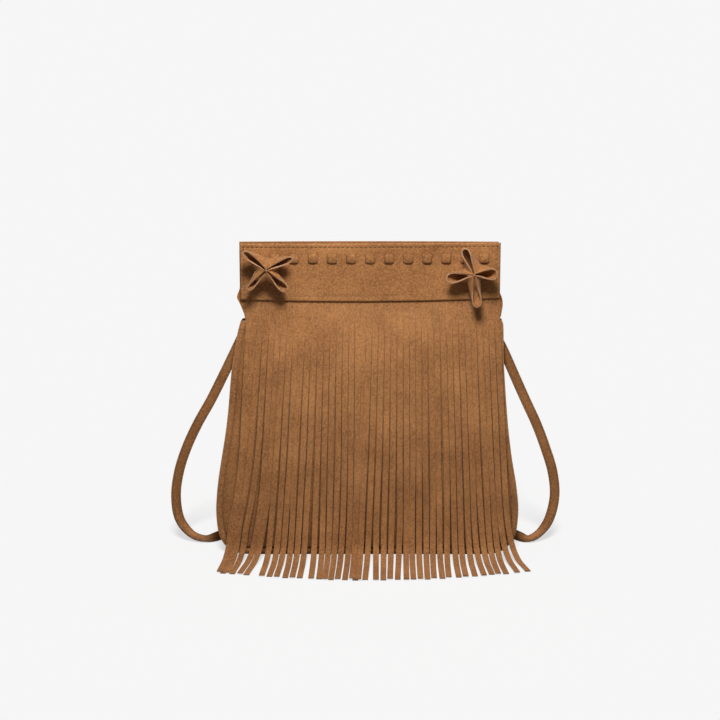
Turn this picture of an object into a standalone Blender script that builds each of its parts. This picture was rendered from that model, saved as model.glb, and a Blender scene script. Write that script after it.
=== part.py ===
"""Fringed suede shoulder bag that stands on its base.

Metres, +Z up, front towards -Y. The origin lies on the floor, under the middle of the base.
"""

import math

import bmesh
import bpy
from mathutils import Vector

# Body
BAG_HEIGHT = 0.263
BASE_DEPTH = 0.084
BASE_WIDTH = 0.258
SHOULDER_OVERHANG = 0.0012
CORNER_RADIUS = 0.031
SIDE_HOLLOW = 1.4
BELLY = 0.012
BELLY_RISE = 0.8
BELLY_FALL = 1.3
MOUTH_BOW = 0.0024
PANEL_COLUMNS = 15
CORNER_STEPS = 6
SIDE_ROWS = 12
PANEL_BAND_ROWS = 6

# Leather, lining and the gap between pieces that touch
SUEDE = 0.001
LINING = 0.0006
CLEAR = 0.0003

# Seams and gusset
SEAM_WIDTH = 0.005
SEAM_TOP_DROP = 0.016
SHOULDER_STEP = 0.004
SHOULDER_DROP = 0.006
PLEAT_DEPTH = 0.010
PLEAT_START = 0.060
GUSSET_FLAT_SHARE = 0.7
GUSSET_LINING_DROP = 0.038
GUSSET_LINING_SHARE = 0.7

# Bands
BAND_LENGTH = 0.220
BAND_HEIGHT = 0.049
BAND_THICKNESS = 0.0018
REAR_BAND_COLUMNS = 17
PANEL_TOP_SETBACK = 0.003
LINING_TOP_SETBACK = 0.0035

# Lace woven through the front band
LACE_WIDTH = 0.0073
LACE_THICKNESS = 0.001
LACE_DROP = 0.01275
LACE_MARGIN = 0.0134
LACE_SQUARE = 0.0080
LACE_SQUARES = 13
LACE_PUFF = 0.0006

# Fringe
FRINGE_STRANDS = 42
FRINGE_MARGIN = 0.0029
FRINGE_TAB = 0.008
FRINGE_SPREAD_BELLY = 1.184
FRINGE_SPREAD_TIPS = 1.243
FRINGE_CENTRE_TOP = 0.0023
FRINGE_TIP_REACH = 0.064
FRINGE_TIP_REACH_SIDES = 0.046
# the hanging length: height as a share of the band's bottom edge, and distance ahead of the panel
FRINGE_HANG = ((0.804, 0.0008), (0.598, 0.0020), (0.411, 0.0040), (0.243, 0.0060), (0.117, 0.0090))
FRINGE_TURN_HEIGHT = 0.0095
FRINGE_TURN_AHEAD = 0.0160
FRINGE_LANDING_HEIGHT = 0.0022
FRINGE_LANDING_SHARE = 0.24

# Flowers
FLOWER_RISE = 0.0165
FLOWER_BACK_REACH = 0.0134
FLOWER_BACK_RISE = 0.0017
FLOWER_PETAL_TUCK = 0.001
FLOWER_PETAL_RISE = 0.0102
FLOWER_VALLEY_BULGE = 0.010
FLOWER_VALLEY_RISE = 0.0149
FLOWER_LOOP_WIDTH = 0.0040
FLOWER_EYE = 0.0026
FLOWER_TURNS = 8
FLOWER_RINGS = 6
# each flower's centre: in from the band's end, and down from the bag's top
LEFT_FLOWER_PLACE = (0.0236, 0.0234)
RIGHT_FLOWER_PLACE = (0.0207, 0.0275)
# each petal: the way it points in degrees, and its length
LEFT_PETALS = ((26, 0.0244), (141, 0.0240), (227, 0.0234), (315, 0.0244))
RIGHT_PETALS = ((7, 0.0194), (111, 0.0240), (192, 0.0244), (276, 0.0272))

# Strap
STRAP_WIDTH = 0.0085
STRAP_THICKNESS = 0.003
STRAP_SECTIONS = 79
STRAP_CURVE_STEPS = 24

# Base board and magnetic snap
BOARD_THICKNESS = 0.0015
BOARD_MARGIN = 0.002
BOARD_CORNER = 0.008
BOARD_CORNER_STEPS = 4
SNAP_DROP = 0.013
SNAP_RADIUS = 0.007
SOCKET_THICKNESS = 0.0026
SOCKET_HOLE_RADIUS = 0.0026
SOCKET_HOLE_DEPTH = 0.0018
STUD_PLATE = 0.0016
STUD_RADIUS = 0.0022
STUD_LENGTH = 0.0014
SNAP_SIDES = 24

# The strap's middle line, and the way that its outer face looks, from the left end to the right end
STRAP_ROUTE = (
    ((-0.1040, 0.0000, 0.1900), (0.0, -1.0, 0.0)),
    ((-0.1095, 0.0000, 0.1795), (0.0, -1.0, 0.0)),
    ((-0.1150, 0.0000, 0.1680), (0.0, -1.0, 0.0)),
    ((-0.1254, 0.0000, 0.1467), (0.0, -1.0, 0.1)),
    ((-0.1361, 0.0000, 0.1254), (0.0, -1.0, 0.2)),
    ((-0.1481, 0.0000, 0.1040), (0.0, -1.0, 0.2)),
    ((-0.1580, 0.0000, 0.0825), (0.0, -1.0, 0.2)),
    ((-0.1650, 0.0000, 0.0609), (0.0, -1.0, 0.1)),
    ((-0.1680, 0.0000, 0.0391), (0.1, -1.0, 0.0)),
    ((-0.1650, -0.0020, 0.0190), (0.6, -0.8, 0.3)),
    ((-0.1545, -0.0060, 0.0064), (0.4, -0.3, 0.9)),
    ((-0.1420, -0.0080, 0.0028), (0.0, -0.1, 1.0)),
    ((-0.1310, -0.0040, 0.0042), (0.2, -0.6, 0.8)),
    ((-0.1245, 0.0060, 0.0046), (0.8, -0.6, 0.2)),
    ((-0.1227, 0.0220, 0.0046), (1.0, 0.0, 0.0)),
    ((-0.1227, 0.0420, 0.0046), (1.0, 0.0, 0.0)),
    ((-0.1150, 0.0590, 0.0046), (0.7, -0.7, 0.0)),
    ((-0.0880, 0.0680, 0.0046), (0.2, -1.0, 0.0)),
    ((-0.0450, 0.0660, 0.0046), (0.0, -1.0, 0.0)),
    ((0.0000, 0.0630, 0.0046), (0.0, -1.0, 0.0)),
    ((0.0450, 0.0650, 0.0046), (0.0, -1.0, 0.0)),
    ((0.0740, 0.0720, 0.0046), (0.5, -0.8, 0.0)),
    ((0.0840, 0.0880, 0.0046), (1.0, 0.1, 0.0)),
    ((0.0730, 0.1030, 0.0046), (0.4, 0.9, 0.0)),
    ((0.0440, 0.1060, 0.0046), (0.0, 1.0, 0.0)),
    ((0.0000, 0.1030, 0.0046), (0.0, 1.0, 0.0)),
    ((-0.0420, 0.1050, 0.0046), (0.0, 1.0, 0.0)),
    ((-0.0690, 0.1110, 0.0046), (0.4, 0.9, 0.0)),
    ((-0.0800, 0.1260, 0.0046), (1.0, 0.1, 0.0)),
    ((-0.0700, 0.1410, 0.0046), (0.5, -0.8, 0.0)),
    ((-0.0410, 0.1450, 0.0046), (0.0, -1.0, 0.0)),
    ((0.0050, 0.1420, 0.0046), (0.0, -1.0, 0.0)),
    ((0.0550, 0.1400, 0.0046), (0.0, -1.0, 0.0)),
    ((0.0920, 0.1310, 0.0046), (-0.5, -0.9, 0.0)),
    ((0.1120, 0.1060, 0.0046), (-0.9, -0.4, 0.0)),
    ((0.1225, 0.0720, 0.0046), (-1.0, 0.0, 0.0)),
    ((0.1232, 0.0420, 0.0046), (-1.0, 0.0, 0.0)),
    ((0.1232, 0.0200, 0.0046), (-1.0, 0.0, 0.0)),
    ((0.1248, 0.0050, 0.0046), (-0.8, -0.6, 0.2)),
    ((0.1310, -0.0050, 0.0042), (-0.2, -0.6, 0.8)),
    ((0.1395, -0.0080, 0.0028), (0.0, -0.1, 1.0)),
    ((0.1490, -0.0050, 0.0072), (-0.4, -0.3, 0.9)),
    ((0.1575, -0.0020, 0.0190), (-0.6, -0.8, 0.3)),
    ((0.1620, 0.0000, 0.0391), (-0.1, -1.0, 0.0)),
    ((0.1598, 0.0000, 0.0609), (0.0, -1.0, 0.1)),
    ((0.1532, 0.0000, 0.0825), (0.0, -1.0, 0.2)),
    ((0.1450, 0.0000, 0.1040), (0.0, -1.0, 0.2)),
    ((0.1351, 0.0000, 0.1254), (0.0, -1.0, 0.2)),
    ((0.1255, 0.0000, 0.1467), (0.0, -1.0, 0.1)),
    ((0.1160, 0.0000, 0.1680), (0.0, -1.0, 0.0)),
    ((0.1100, 0.0000, 0.1795), (0.0, -1.0, 0.0)),
    ((0.1040, 0.0000, 0.1900), (0.0, -1.0, 0.0)),
)

SUEDE_TAN = (0.361, 0.156, 0.054, 1.0)
SUEDE_SEAM = (0.300, 0.122, 0.040, 1.0)
LINING_BROWN = (0.110, 0.055, 0.025, 1.0)
BOARD_GREY = (0.180, 0.170, 0.150, 1.0)
ANTIQUE_BRASS = (0.420, 0.300, 0.150, 1.0)


# Sizes that follow from the driving ones
BAND_BOTTOM = BAG_HEIGHT - BAND_HEIGHT
SHOULDER_WIDTH = BAND_LENGTH + 2 * SHOULDER_OVERHANG
SEAM_TOP = BAND_BOTTOM - SEAM_TOP_DROP
GUSSET_LINING_TOP = SEAM_TOP - GUSSET_LINING_DROP
SNAP_HEIGHT = BAG_HEIGHT - SNAP_DROP
EDGE_TOP = CLEAR / 2 + LINING + CLEAR + SUEDE
FRONT_BAND_STANDOFF = max(LACE_THICKNESS, SUEDE) + 2 * CLEAR
LACE_CENTRE = BAG_HEIGHT - LACE_DROP
LACE_PITCH = (BAND_LENGTH - 2 * LACE_MARGIN) / (LACE_SQUARES - 1)
FRINGE_PITCH = (BAND_LENGTH - 2 * FRINGE_MARGIN) / FRINGE_STRANDS
STRAND_WIDTH = FRINGE_PITCH - CLEAR
LINING_INSET = SEAM_WIDTH + 2 * SUEDE + 3 * CLEAR
PLEAT_HALF_GAP = STRAP_THICKNESS / 2 + CLEAR


def remove_all_objects():
    for thing in list(bpy.data.objects):
        bpy.data.objects.remove(thing, do_unlink=True)


def make_material(name, colour, roughness, metallic=0.0):
    material = bpy.data.materials.new(name)
    material.use_nodes = True
    shader = material.node_tree.nodes["Principled BSDF"]
    shader.inputs["Base Color"].default_value = colour
    shader.inputs["Roughness"].default_value = roughness
    shader.inputs["Metallic"].default_value = metallic
    return material


def finish_object(name, mesh_data, material, smooth_angle=35):
    """Turn a closed bmesh into a named object with its faces pointing out."""
    bmesh.ops.recalc_face_normals(mesh_data, faces=mesh_data.faces)
    mesh = bpy.data.meshes.new(name)
    mesh_data.to_mesh(mesh)
    mesh_data.free()
    mesh.shade_smooth()
    mesh.set_sharp_from_angle(angle=math.radians(smooth_angle))
    mesh.materials.append(material)
    piece = bpy.data.objects.new(name, mesh)
    bpy.context.scene.collection.objects.link(piece)
    return piece


def spread(first, last, count):
    return [first + (last - first) * step / (count - 1) for step in range(count)]


def blend(first, last, share):
    return first + (last - first) * share


def smooth_share(value, start, end):
    share = min(max((value - start) / (end - start), 0.0), 1.0)
    return share * share * (3 - 2 * share)


# Shape of the body

def body_half_width(height):
    """Half width of the body at its side seams, without the rounded lower corners."""
    share = min(max((height - CORNER_RADIUS) / (BAND_BOTTOM - CORNER_RADIUS), 0.0), 1.0)
    return blend(SHOULDER_WIDTH / 2, BASE_WIDTH / 2, (1 - share) ** SIDE_HOLLOW)


def outline_half_width(height, inset=0.0):
    """Half width of a panel that ends the inset within the side seams' outer edge."""
    if height >= CORNER_RADIUS:
        step = SHOULDER_STEP * smooth_share(height, SEAM_TOP, SEAM_TOP + SHOULDER_DROP)
        return body_half_width(height) - step - inset
    radius = CORNER_RADIUS - inset
    drop = min(CORNER_RADIUS - height, radius)
    return BASE_WIDTH / 2 - CORNER_RADIUS + math.sqrt(radius * radius - drop * drop)


def outer_depth(across, height):
    """Distance from the bag's middle plane to a panel's outer face."""
    edge = blend(BASE_DEPTH / 2, EDGE_TOP, min(height / BAND_BOTTOM, 1.0))
    level = min(max(height / BAG_HEIGHT, 0.0), 1.0)
    peak = BELLY_RISE / (BELLY_RISE + BELLY_FALL)
    peak_size = peak ** BELLY_RISE * (1 - peak) ** BELLY_FALL
    belly = BELLY * level ** BELLY_RISE * (1 - level) ** BELLY_FALL / peak_size
    crown = 1 - (across / body_half_width(height)) ** 2
    return edge + (belly + MOUTH_BOW * level) * crown


def corner_heights(bottom, radius, steps):
    turn = [math.radians(90 * step / steps) for step in range(steps + 1)]
    return [bottom + radius * (1 - math.cos(angle)) for angle in turn]


# Closed meshes

def sheet_mesh(near, far, is_hole=None):
    """A slab between two equal grids of points, with walls round its rim and round its holes."""
    mesh_data = bmesh.new()
    row_count = len(near)
    column_count = len(near[0])

    def is_solid(row, column):
        inside = 0 <= row < row_count - 1 and 0 <= column < column_count - 1
        return inside and not (is_hole and is_hole(row, column))

    corners = {}

    def corner(side, row, column):
        key = (side, row, column)
        if key not in corners:
            corners[key] = mesh_data.verts.new((near, far)[side][row][column])
        return corners[key]

    for row in range(row_count - 1):
        for column in range(column_count - 1):
            if not is_solid(row, column):
                continue
            ring = ((row, column), (row, column + 1), (row + 1, column + 1), (row + 1, column))
            mesh_data.faces.new([corner(0, *place) for place in ring])
            mesh_data.faces.new([corner(1, *ring[turn]) for turn in (0, 3, 2, 1)])
            beside = ((row - 1, column), (row, column + 1), (row + 1, column), (row, column - 1))
            for index, neighbour in enumerate(beside):
                if is_solid(*neighbour):
                    continue
                start = ring[index]
                end = ring[(index + 1) % 4]
                mesh_data.faces.new((corner(0, *end), corner(0, *start), corner(1, *start), corner(1, *end)))
    return mesh_data


def loft_mesh(rings):
    """A body that passes through closed rings of points, capped at both ends."""
    mesh_data = bmesh.new()
    loops = [[mesh_data.verts.new(point) for point in ring] for ring in rings]
    size = len(loops[0])
    for first, second in zip(loops, loops[1:]):
        for index in range(size):
            after = (index + 1) % size
            mesh_data.faces.new((first[index], first[after], second[after], second[index]))
    mesh_data.faces.new(list(reversed(loops[0])))
    mesh_data.faces.new(loops[-1])
    return mesh_data


def offset_path(points, distance):
    """Shift an open path of 2D points sideways, to the left of its direction, with mitred corners."""
    path = [Vector(point) for point in points]
    sides = []
    for first, second in zip(path, path[1:]):
        run = (second - first).normalized()
        sides.append(Vector((-run.y, run.x)))
    shifted = [path[0] + sides[0] * distance]
    for index in range(1, len(path) - 1):
        before = sides[index - 1]
        after = sides[index]
        mitre = (before + after) / (1 + before.dot(after))
        shifted.append(path[index] + mitre * distance)
    shifted.append(path[-1] + sides[-1] * distance)
    return shifted


# Panels and linings

def panel_rows(top, inset):
    rows = corner_heights(inset, CORNER_RADIUS - inset, CORNER_STEPS)
    rows += spread(CORNER_RADIUS, SEAM_TOP, SIDE_ROWS)[1:]
    rows += [SEAM_TOP + SHOULDER_DROP]
    rows += spread(BAND_BOTTOM, top, PANEL_BAND_ROWS)
    return rows


def add_panel(name, facing, outer, thickness, inset, top, material):
    """One curved panel: facing is -1 at the front and 1 at the rear, outer is its depth under the suede."""
    near = []
    far = []
    for height in panel_rows(top, inset):
        half_width = outline_half_width(height, inset)
        near_row = []
        far_row = []
        for across in spread(-half_width, half_width, PANEL_COLUMNS):
            depth = outer_depth(across, height) - outer
            near_row.append((across, facing * depth, height))
            far_row.append((across, facing * (depth - thickness), height))
        near.append(near_row)
        far.append(far_row)
    return finish_object(name, sheet_mesh(near, far), material)


# Gusset: one strip up one side, under the base and up the other side

def seam_stations(top):
    """Places along the seam's outer edge, with the outward direction and how far along the base it is."""
    stations = []
    for height in spread(SEAM_TOP, CORNER_RADIUS, SIDE_ROWS)[:-1]:
        if height > top:
            continue
        rise = body_half_width(height + SUEDE) - body_half_width(height - SUEDE)
        outward = Vector((-2 * SUEDE, -rise)).normalized()
        stations.append((Vector((-body_half_width(height), height)), outward, 0.0))
    centre = Vector((-BASE_WIDTH / 2 + CORNER_RADIUS, CORNER_RADIUS))
    for step in range(CORNER_STEPS + 1):
        angle = math.radians(90 * step / CORNER_STEPS)
        outward = Vector((-math.cos(angle), -math.sin(angle)))
        stations.append((centre + outward * CORNER_RADIUS, outward, math.sin(angle) ** 2))
    for across in spread(centre.x, -centre.x, 5)[1:3]:
        stations.append((Vector((across, 0.0)), Vector((0.0, -1.0)), 1.0))
    mirrored = []
    for place, outward, base_share in stations[:-1]:
        mirrored.append((Vector((-place.x, place.y)), Vector((-outward.x, outward.y)), base_share))
    return stations + list(reversed(mirrored))


def wall_corner(place, outward):
    return place - outward * SEAM_WIDTH


def wall_profile(place, outward, base_share, lift=0.0):
    """The gusset's outer side in (depth, outward) from its front seam to its rear seam, without the seams."""
    corner = wall_corner(place, outward)
    half_depth = outer_depth(corner.x, corner.y) - 2 * SUEDE - CLEAR
    fold = smooth_share(corner.y, PLEAT_START, SEAM_TOP)
    half_flat = blend(half_depth * GUSSET_FLAT_SHARE, PLEAT_HALF_GAP, fold)
    reach = blend(-PLEAT_DEPTH * fold, SEAM_WIDTH - lift, base_share)
    return [(-half_depth, 0.0), (-half_flat, reach), (half_flat, reach), (half_depth, 0.0)]


def placed(points, place, outward):
    """Turn (depth, outward) points at a station into points in space."""
    corner = wall_corner(place, outward)
    spots = []
    for depth, reach in points:
        flat = corner + outward * reach
        spots.append((flat.x, depth, flat.y))
    return spots


def add_gusset(material):
    rings = []
    for place, outward, base_share in seam_stations(SEAM_TOP):
        wall = wall_profile(place, outward, base_share)
        tip = outer_depth(place.x, place.y) - 2 * SUEDE - CLEAR
        outer = [(-tip, SEAM_WIDTH)] + wall + [(tip, SEAM_WIDTH)]
        inner = offset_path(outer, -SUEDE)
        corner = wall_corner(place, outward)
        seat = outer_depth(corner.x, corner.y) - SUEDE - CLEAR
        inner[0] = Vector((-tip - SUEDE, SEAM_WIDTH))
        inner[1].x = -seat
        inner[-2].x = seat
        inner[-1] = Vector((tip + SUEDE, SEAM_WIDTH))
        rings.append(placed(outer + list(reversed(inner)), place, outward))
    return finish_object("gusset", loft_mesh(rings), material)


def add_gusset_lining(material):
    rings = []
    for place, outward, base_share in seam_stations(GUSSET_LINING_TOP):
        lift = (BOARD_THICKNESS + CLEAR) * base_share
        wall = [Vector(spot) for spot in wall_profile(place, outward, base_share, lift)]
        wall[0] = wall[1].lerp(wall[0], GUSSET_LINING_SHARE)
        wall[3] = wall[2].lerp(wall[3], GUSSET_LINING_SHARE)
        outer = offset_path(wall, -(SUEDE + 2 * CLEAR))
        inner = offset_path(wall, -(SUEDE + 2 * CLEAR + LINING))
        rings.append(placed(inner + list(reversed(outer)), place, outward))
    return finish_object("gusset_lining", loft_mesh(rings), material)


def add_base_board(material):
    """Stiff board that lies on the gusset inside the base."""
    half_width = BASE_WIDTH / 2 - CORNER_RADIUS - BOARD_MARGIN
    half_depth = (BASE_DEPTH / 2 - 2 * SUEDE - CLEAR) * GUSSET_FLAT_SHARE - BOARD_MARGIN
    bottom = SUEDE + CLEAR
    outline = []
    for turn in range(4):
        corner_x = (half_width - BOARD_CORNER) * (1 if turn in (0, 3) else -1)
        corner_y = (half_depth - BOARD_CORNER) * (1 if turn in (0, 1) else -1)
        for step in range(BOARD_CORNER_STEPS + 1):
            angle = math.radians(90 * (turn + step / BOARD_CORNER_STEPS))
            outline.append((corner_x + BOARD_CORNER * math.cos(angle), corner_y + BOARD_CORNER * math.sin(angle)))
    rings = [[(x, y, height) for x, y in outline] for height in (bottom, bottom + BOARD_THICKNESS)]
    return finish_object("base_board", loft_mesh(rings), material)


# Bands, lace and fringe

def lace_centres():
    middle = (LACE_SQUARES - 1) / 2
    return [(index - middle) * LACE_PITCH for index in range(LACE_SQUARES)]


def add_band(name, facing, standoff, slots, material):
    """Stiff band along the mouth; slots are the places across it of the holes for the lace."""
    half_slot = LACE_THICKNESS / 2 + CLEAR
    columns = [-BAND_LENGTH / 2]
    for slot in slots:
        columns += [slot - half_slot, slot + half_slot]
    columns.append(BAND_LENGTH / 2)
    if not slots:
        columns = spread(-BAND_LENGTH / 2, BAND_LENGTH / 2, REAR_BAND_COLUMNS)
    slot_bottom = LACE_CENTRE - LACE_WIDTH / 2 - CLEAR
    slot_top = LACE_CENTRE + LACE_WIDTH / 2 + CLEAR
    rows = [BAND_BOTTOM, (BAND_BOTTOM + slot_bottom) / 2, slot_bottom, slot_top, BAG_HEIGHT]
    near = []
    far = []
    for height in rows:
        depths = [outer_depth(across, height) + standoff for across in columns]
        near.append([(x, facing * (depth + BAND_THICKNESS), height) for x, depth in zip(columns, depths)])
        far.append([(x, facing * depth, height) for x, depth in zip(columns, depths)])

    def is_slot(row, column):
        return bool(slots) and row == 2 and column % 2 == 1 and column < 2 * len(slots)

    return finish_object(name, sheet_mesh(near, far, is_slot), material)


def add_lace(material):
    """One flat strip that runs in and out of the band's slots."""
    behind = CLEAR + LACE_THICKNESS / 2
    ahead = FRONT_BAND_STANDOFF + BAND_THICKNESS + CLEAR + LACE_THICKNESS / 2
    half_square = LACE_SQUARE / 2
    centres = lace_centres()
    tail = (LACE_PITCH - LACE_SQUARE) / 2
    path = [(centres[0] - half_square - tail, behind)]
    for centre in centres:
        path += [(centre - half_square, behind), (centre - half_square, ahead)]
        path += [(centre, ahead + LACE_PUFF)]
        path += [(centre + half_square, ahead), (centre + half_square, behind)]
    path.append((centres[-1] + half_square + tail, behind))
    sides = (offset_path(path, -LACE_THICKNESS / 2), offset_path(path, LACE_THICKNESS / 2))
    heights = (LACE_CENTRE - LACE_WIDTH / 2, LACE_CENTRE + LACE_WIDTH / 2)
    rings = []
    for first, second in zip(*sides):
        ring = []
        for spot, height in ((first, heights[0]), (first, heights[1]), (second, heights[1]), (second, heights[0])):
            ring.append((spot.x, -(outer_depth(spot.x, height) + spot.y), height))
        rings.append(ring)
    return finish_object("lace", loft_mesh(rings), material)


def fringe_profile(side_share):
    """Back side of a strand from its tab to its tip, as (height, distance ahead of the panel)."""
    reach = blend(FRINGE_TIP_REACH, FRINGE_TIP_REACH_SIDES, side_share)
    tab = [(BAND_BOTTOM + FRINGE_TAB, CLEAR), (BAND_BOTTOM, CLEAR)]
    hang = [(BAND_BOTTOM * share, ahead) for share, ahead in FRINGE_HANG]
    turn = [(FRINGE_TURN_HEIGHT, FRINGE_TURN_AHEAD)]
    landing = [(FRINGE_LANDING_HEIGHT, FRINGE_LANDING_SHARE * reach + FRINGE_TURN_AHEAD), (0.0, reach)]
    return tab + hang + turn + landing


def add_fringe(material):
    """One piece of suede cut into strands up to the tab that is sewn under the band."""
    middle = (FRINGE_STRANDS - 1) / 2
    near = []
    far = []
    row_count = len(fringe_profile(0.0))
    for row in range(row_count):
        near.append([])
        far.append([])
    for strand in range(FRINGE_STRANDS):
        position = strand - middle
        side_share = abs(position / middle) ** 2
        for edge in (-STRAND_WIDTH / 2, STRAND_WIDTH / 2):
            places = []
            back = []
            for height, ahead in fringe_profile(side_share):
                fall = smooth_share(BAND_BOTTOM - height, 0.0, BAND_BOTTOM - CORNER_RADIUS)
                tip_share = smooth_share(CORNER_RADIUS - height, 0.0, CORNER_RADIUS)
                widening = blend(blend(1.0, FRINGE_SPREAD_BELLY, fall), FRINGE_SPREAD_TIPS, tip_share)
                centre = position * FRINGE_PITCH * widening + FRINGE_CENTRE_TOP * (1 - fall)
                places.append(centre + edge)
                back.append((outer_depth(places[-1], height) + ahead, height))
            front = offset_path(back, SUEDE)
            for row, across in enumerate(places):
                far[row].append((across, -back[row][0], back[row][1]))
                near[row].append((across, -front[row].x, front[row].y))

    def is_cut(row, column):
        return row >= 1 and column % 2 == 1

    return finish_object("front_fringe", sheet_mesh(near, far, is_cut), material)


# Flowers

def flower_rim(petals, index, turn):
    """Point of the rim in the flower's own plane: turn runs from -1 to 1 round one petal's loop."""
    angle, length = petals[index]
    if turn < 0:
        beside = petals[index - 1][0] - (360 if index == 0 else 0)
    else:
        beside = petals[(index + 1) % len(petals)][0] + (360 if index == len(petals) - 1 else 0)
    along = Vector((math.cos(math.radians(angle)), math.sin(math.radians(angle))))
    across = Vector((-along.y, along.x))
    valley = math.radians((angle + beside) / 2)
    eye = Vector((math.cos(valley), math.sin(valley))) * FLOWER_EYE
    loop = along * length * math.cos(math.pi * turn / 2) + across * FLOWER_LOOP_WIDTH * math.sin(math.pi * turn)
    return loop + eye * abs(turn) ** 5, valley


def flower_point(petals, index, turn, share):
    """Point of the folded disc: share runs from its centre on the band to its rim."""
    rim, valley = flower_rim(petals, index, turn)
    way_out = blend(math.radians(petals[index][0]), valley, abs(turn))
    outward = Vector((math.cos(way_out), math.sin(way_out)))
    swell = abs(turn) ** 2
    first = outward * FLOWER_BACK_REACH
    second = rim + outward * blend(-FLOWER_PETAL_TUCK, FLOWER_VALLEY_BULGE, swell)
    low = FLOWER_BACK_RISE
    high = blend(FLOWER_PETAL_RISE, FLOWER_VALLEY_RISE, swell)
    weights = (3 * (1 - share) ** 2 * share, 3 * (1 - share) * share ** 2, share ** 3)
    flat = first * weights[0] + second * weights[1] + rim * weights[2]
    rise = low * weights[0] + high * weights[1] + FLOWER_RISE * weights[2]
    return Vector((flat.x, flat.y, rise))


def add_flower(name, side, place, petals, material):
    """A disc of suede with its rim pinched in at four places, fixed to the band at its centre."""
    rings = []
    for share in spread(0.0, 1.0, FLOWER_RINGS + 1)[1:]:
        ring = []
        for index in range(len(petals)):
            for step in range(FLOWER_TURNS):
                ring.append(flower_point(petals, index, -1 + 2 * step / FLOWER_TURNS, share))
        rings.append(ring)
    pole = Vector((0.0, 0.0, 0.0))
    size = len(rings[0])
    lift = []
    for level, ring in enumerate(rings):
        inner = rings[level - 1] if level else [pole] * size
        outer = rings[level + 1] if level + 1 < len(rings) else ring
        shifted = []
        for index, spot in enumerate(ring):
            along = ring[(index + 1) % size] - ring[index - 1]
            normal = (outer[index] - inner[index]).cross(along).normalized()
            shifted.append(spot + normal * SUEDE)
        lift.append(shifted)

    across = side * (BAND_LENGTH / 2 - place[0])
    height = BAG_HEIGHT - place[1]
    base = FRONT_BAND_STANDOFF + BAND_THICKNESS + CLEAR

    def in_space(spot):
        depth = outer_depth(across, height) + base + spot.z
        return (across + spot.x, -depth, height + spot.y)

    mesh_data = bmesh.new()
    back_pole = mesh_data.verts.new(in_space(pole))
    front_pole = mesh_data.verts.new(in_space(pole + Vector((0.0, 0.0, SUEDE))))
    back = [[mesh_data.verts.new(in_space(spot)) for spot in ring] for ring in rings]
    front = [[mesh_data.verts.new(in_space(spot)) for spot in ring] for ring in lift]
    for index in range(size):
        after = (index + 1) % size
        mesh_data.faces.new((back_pole, back[0][after], back[0][index]))
        mesh_data.faces.new((front_pole, front[0][index], front[0][after]))
        mesh_data.faces.new((back[-1][index], back[-1][after], front[-1][after], front[-1][index]))
        for level in range(len(rings) - 1):
            outer = level + 1
            mesh_data.faces.new((back[level][index], back[level][after], back[outer][after], back[outer][index]))
            mesh_data.faces.new((front[level][after], front[level][index], front[outer][index], front[outer][after]))
    return finish_object(name, mesh_data, material, 60)


# Strap

def smooth_route(points, count):
    """Even steps along the smooth curve through the points, with the curve's place among them."""
    spots = [Vector(point) for point in points]
    ends = [2 * spots[0] - spots[1]] + spots + [2 * spots[-1] - spots[-2]]
    fine = []
    for index in range(1, len(ends) - 2):
        for step in range(STRAP_CURVE_STEPS):
            share = step / STRAP_CURVE_STEPS
            before, start, end, after = ends[index - 1:index + 3]
            spot = 0.5 * (2 * start + (end - before) * share
                          + (2 * before - 5 * start + 4 * end - after) * share ** 2
                          + (3 * start - before - 3 * end + after) * share ** 3)
            fine.append((spot, index - 1 + share))
    fine.append((spots[-1], float(len(spots) - 1)))
    travelled = [0.0]
    for first, second in zip(fine, fine[1:]):
        travelled.append(travelled[-1] + (second[0] - first[0]).length)
    steps = []
    reached = 0
    for target in spread(0.0, travelled[-1], count):
        while reached < len(travelled) - 2 and travelled[reached + 1] < target:
            reached += 1
        share = (target - travelled[reached]) / (travelled[reached + 1] - travelled[reached])
        spot = fine[reached][0].lerp(fine[reached + 1][0], share)
        steps.append((spot, blend(fine[reached][1], fine[reached + 1][1], share)))
    return steps


def add_strap(material):
    """One flat strap of two layers, its ends sewn into the gusset's pleats, its slack laid behind the bag."""
    faces = [Vector(face) for place, face in STRAP_ROUTE]
    steps = smooth_route([place for place, face in STRAP_ROUTE], STRAP_SECTIONS)
    rings = []
    for index, (spot, place) in enumerate(steps):
        before = steps[max(index - 1, 0)][0]
        after = steps[min(index + 1, len(steps) - 1)][0]
        run = (after - before).normalized()
        low = min(int(place), len(faces) - 2)
        face = faces[low].lerp(faces[low + 1], place - low)
        side = run.cross(face).normalized() * (STRAP_WIDTH / 2)
        out = side.cross(run).normalized() * (STRAP_THICKNESS / 2)
        rings.append([spot + side + out, spot - side + out, spot - side - out, spot + side - out])
    return finish_object("strap", loft_mesh(rings), material)


# Magnetic snap

def turned_piece(name, profile, facing, base_depth, material):
    """A piece turned about a line along Y; the profile is (radius, distance in from its backing)."""
    rings = []
    for radius, distance in profile:
        depth = facing * (base_depth - distance)
        ring = []
        for step in range(SNAP_SIDES):
            angle = math.radians(360 * step / SNAP_SIDES)
            ring.append((radius * math.cos(angle), depth, SNAP_HEIGHT + radius * math.sin(angle)))
        rings.append(ring)
    return finish_object(name, loft_mesh(rings), material)


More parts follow.
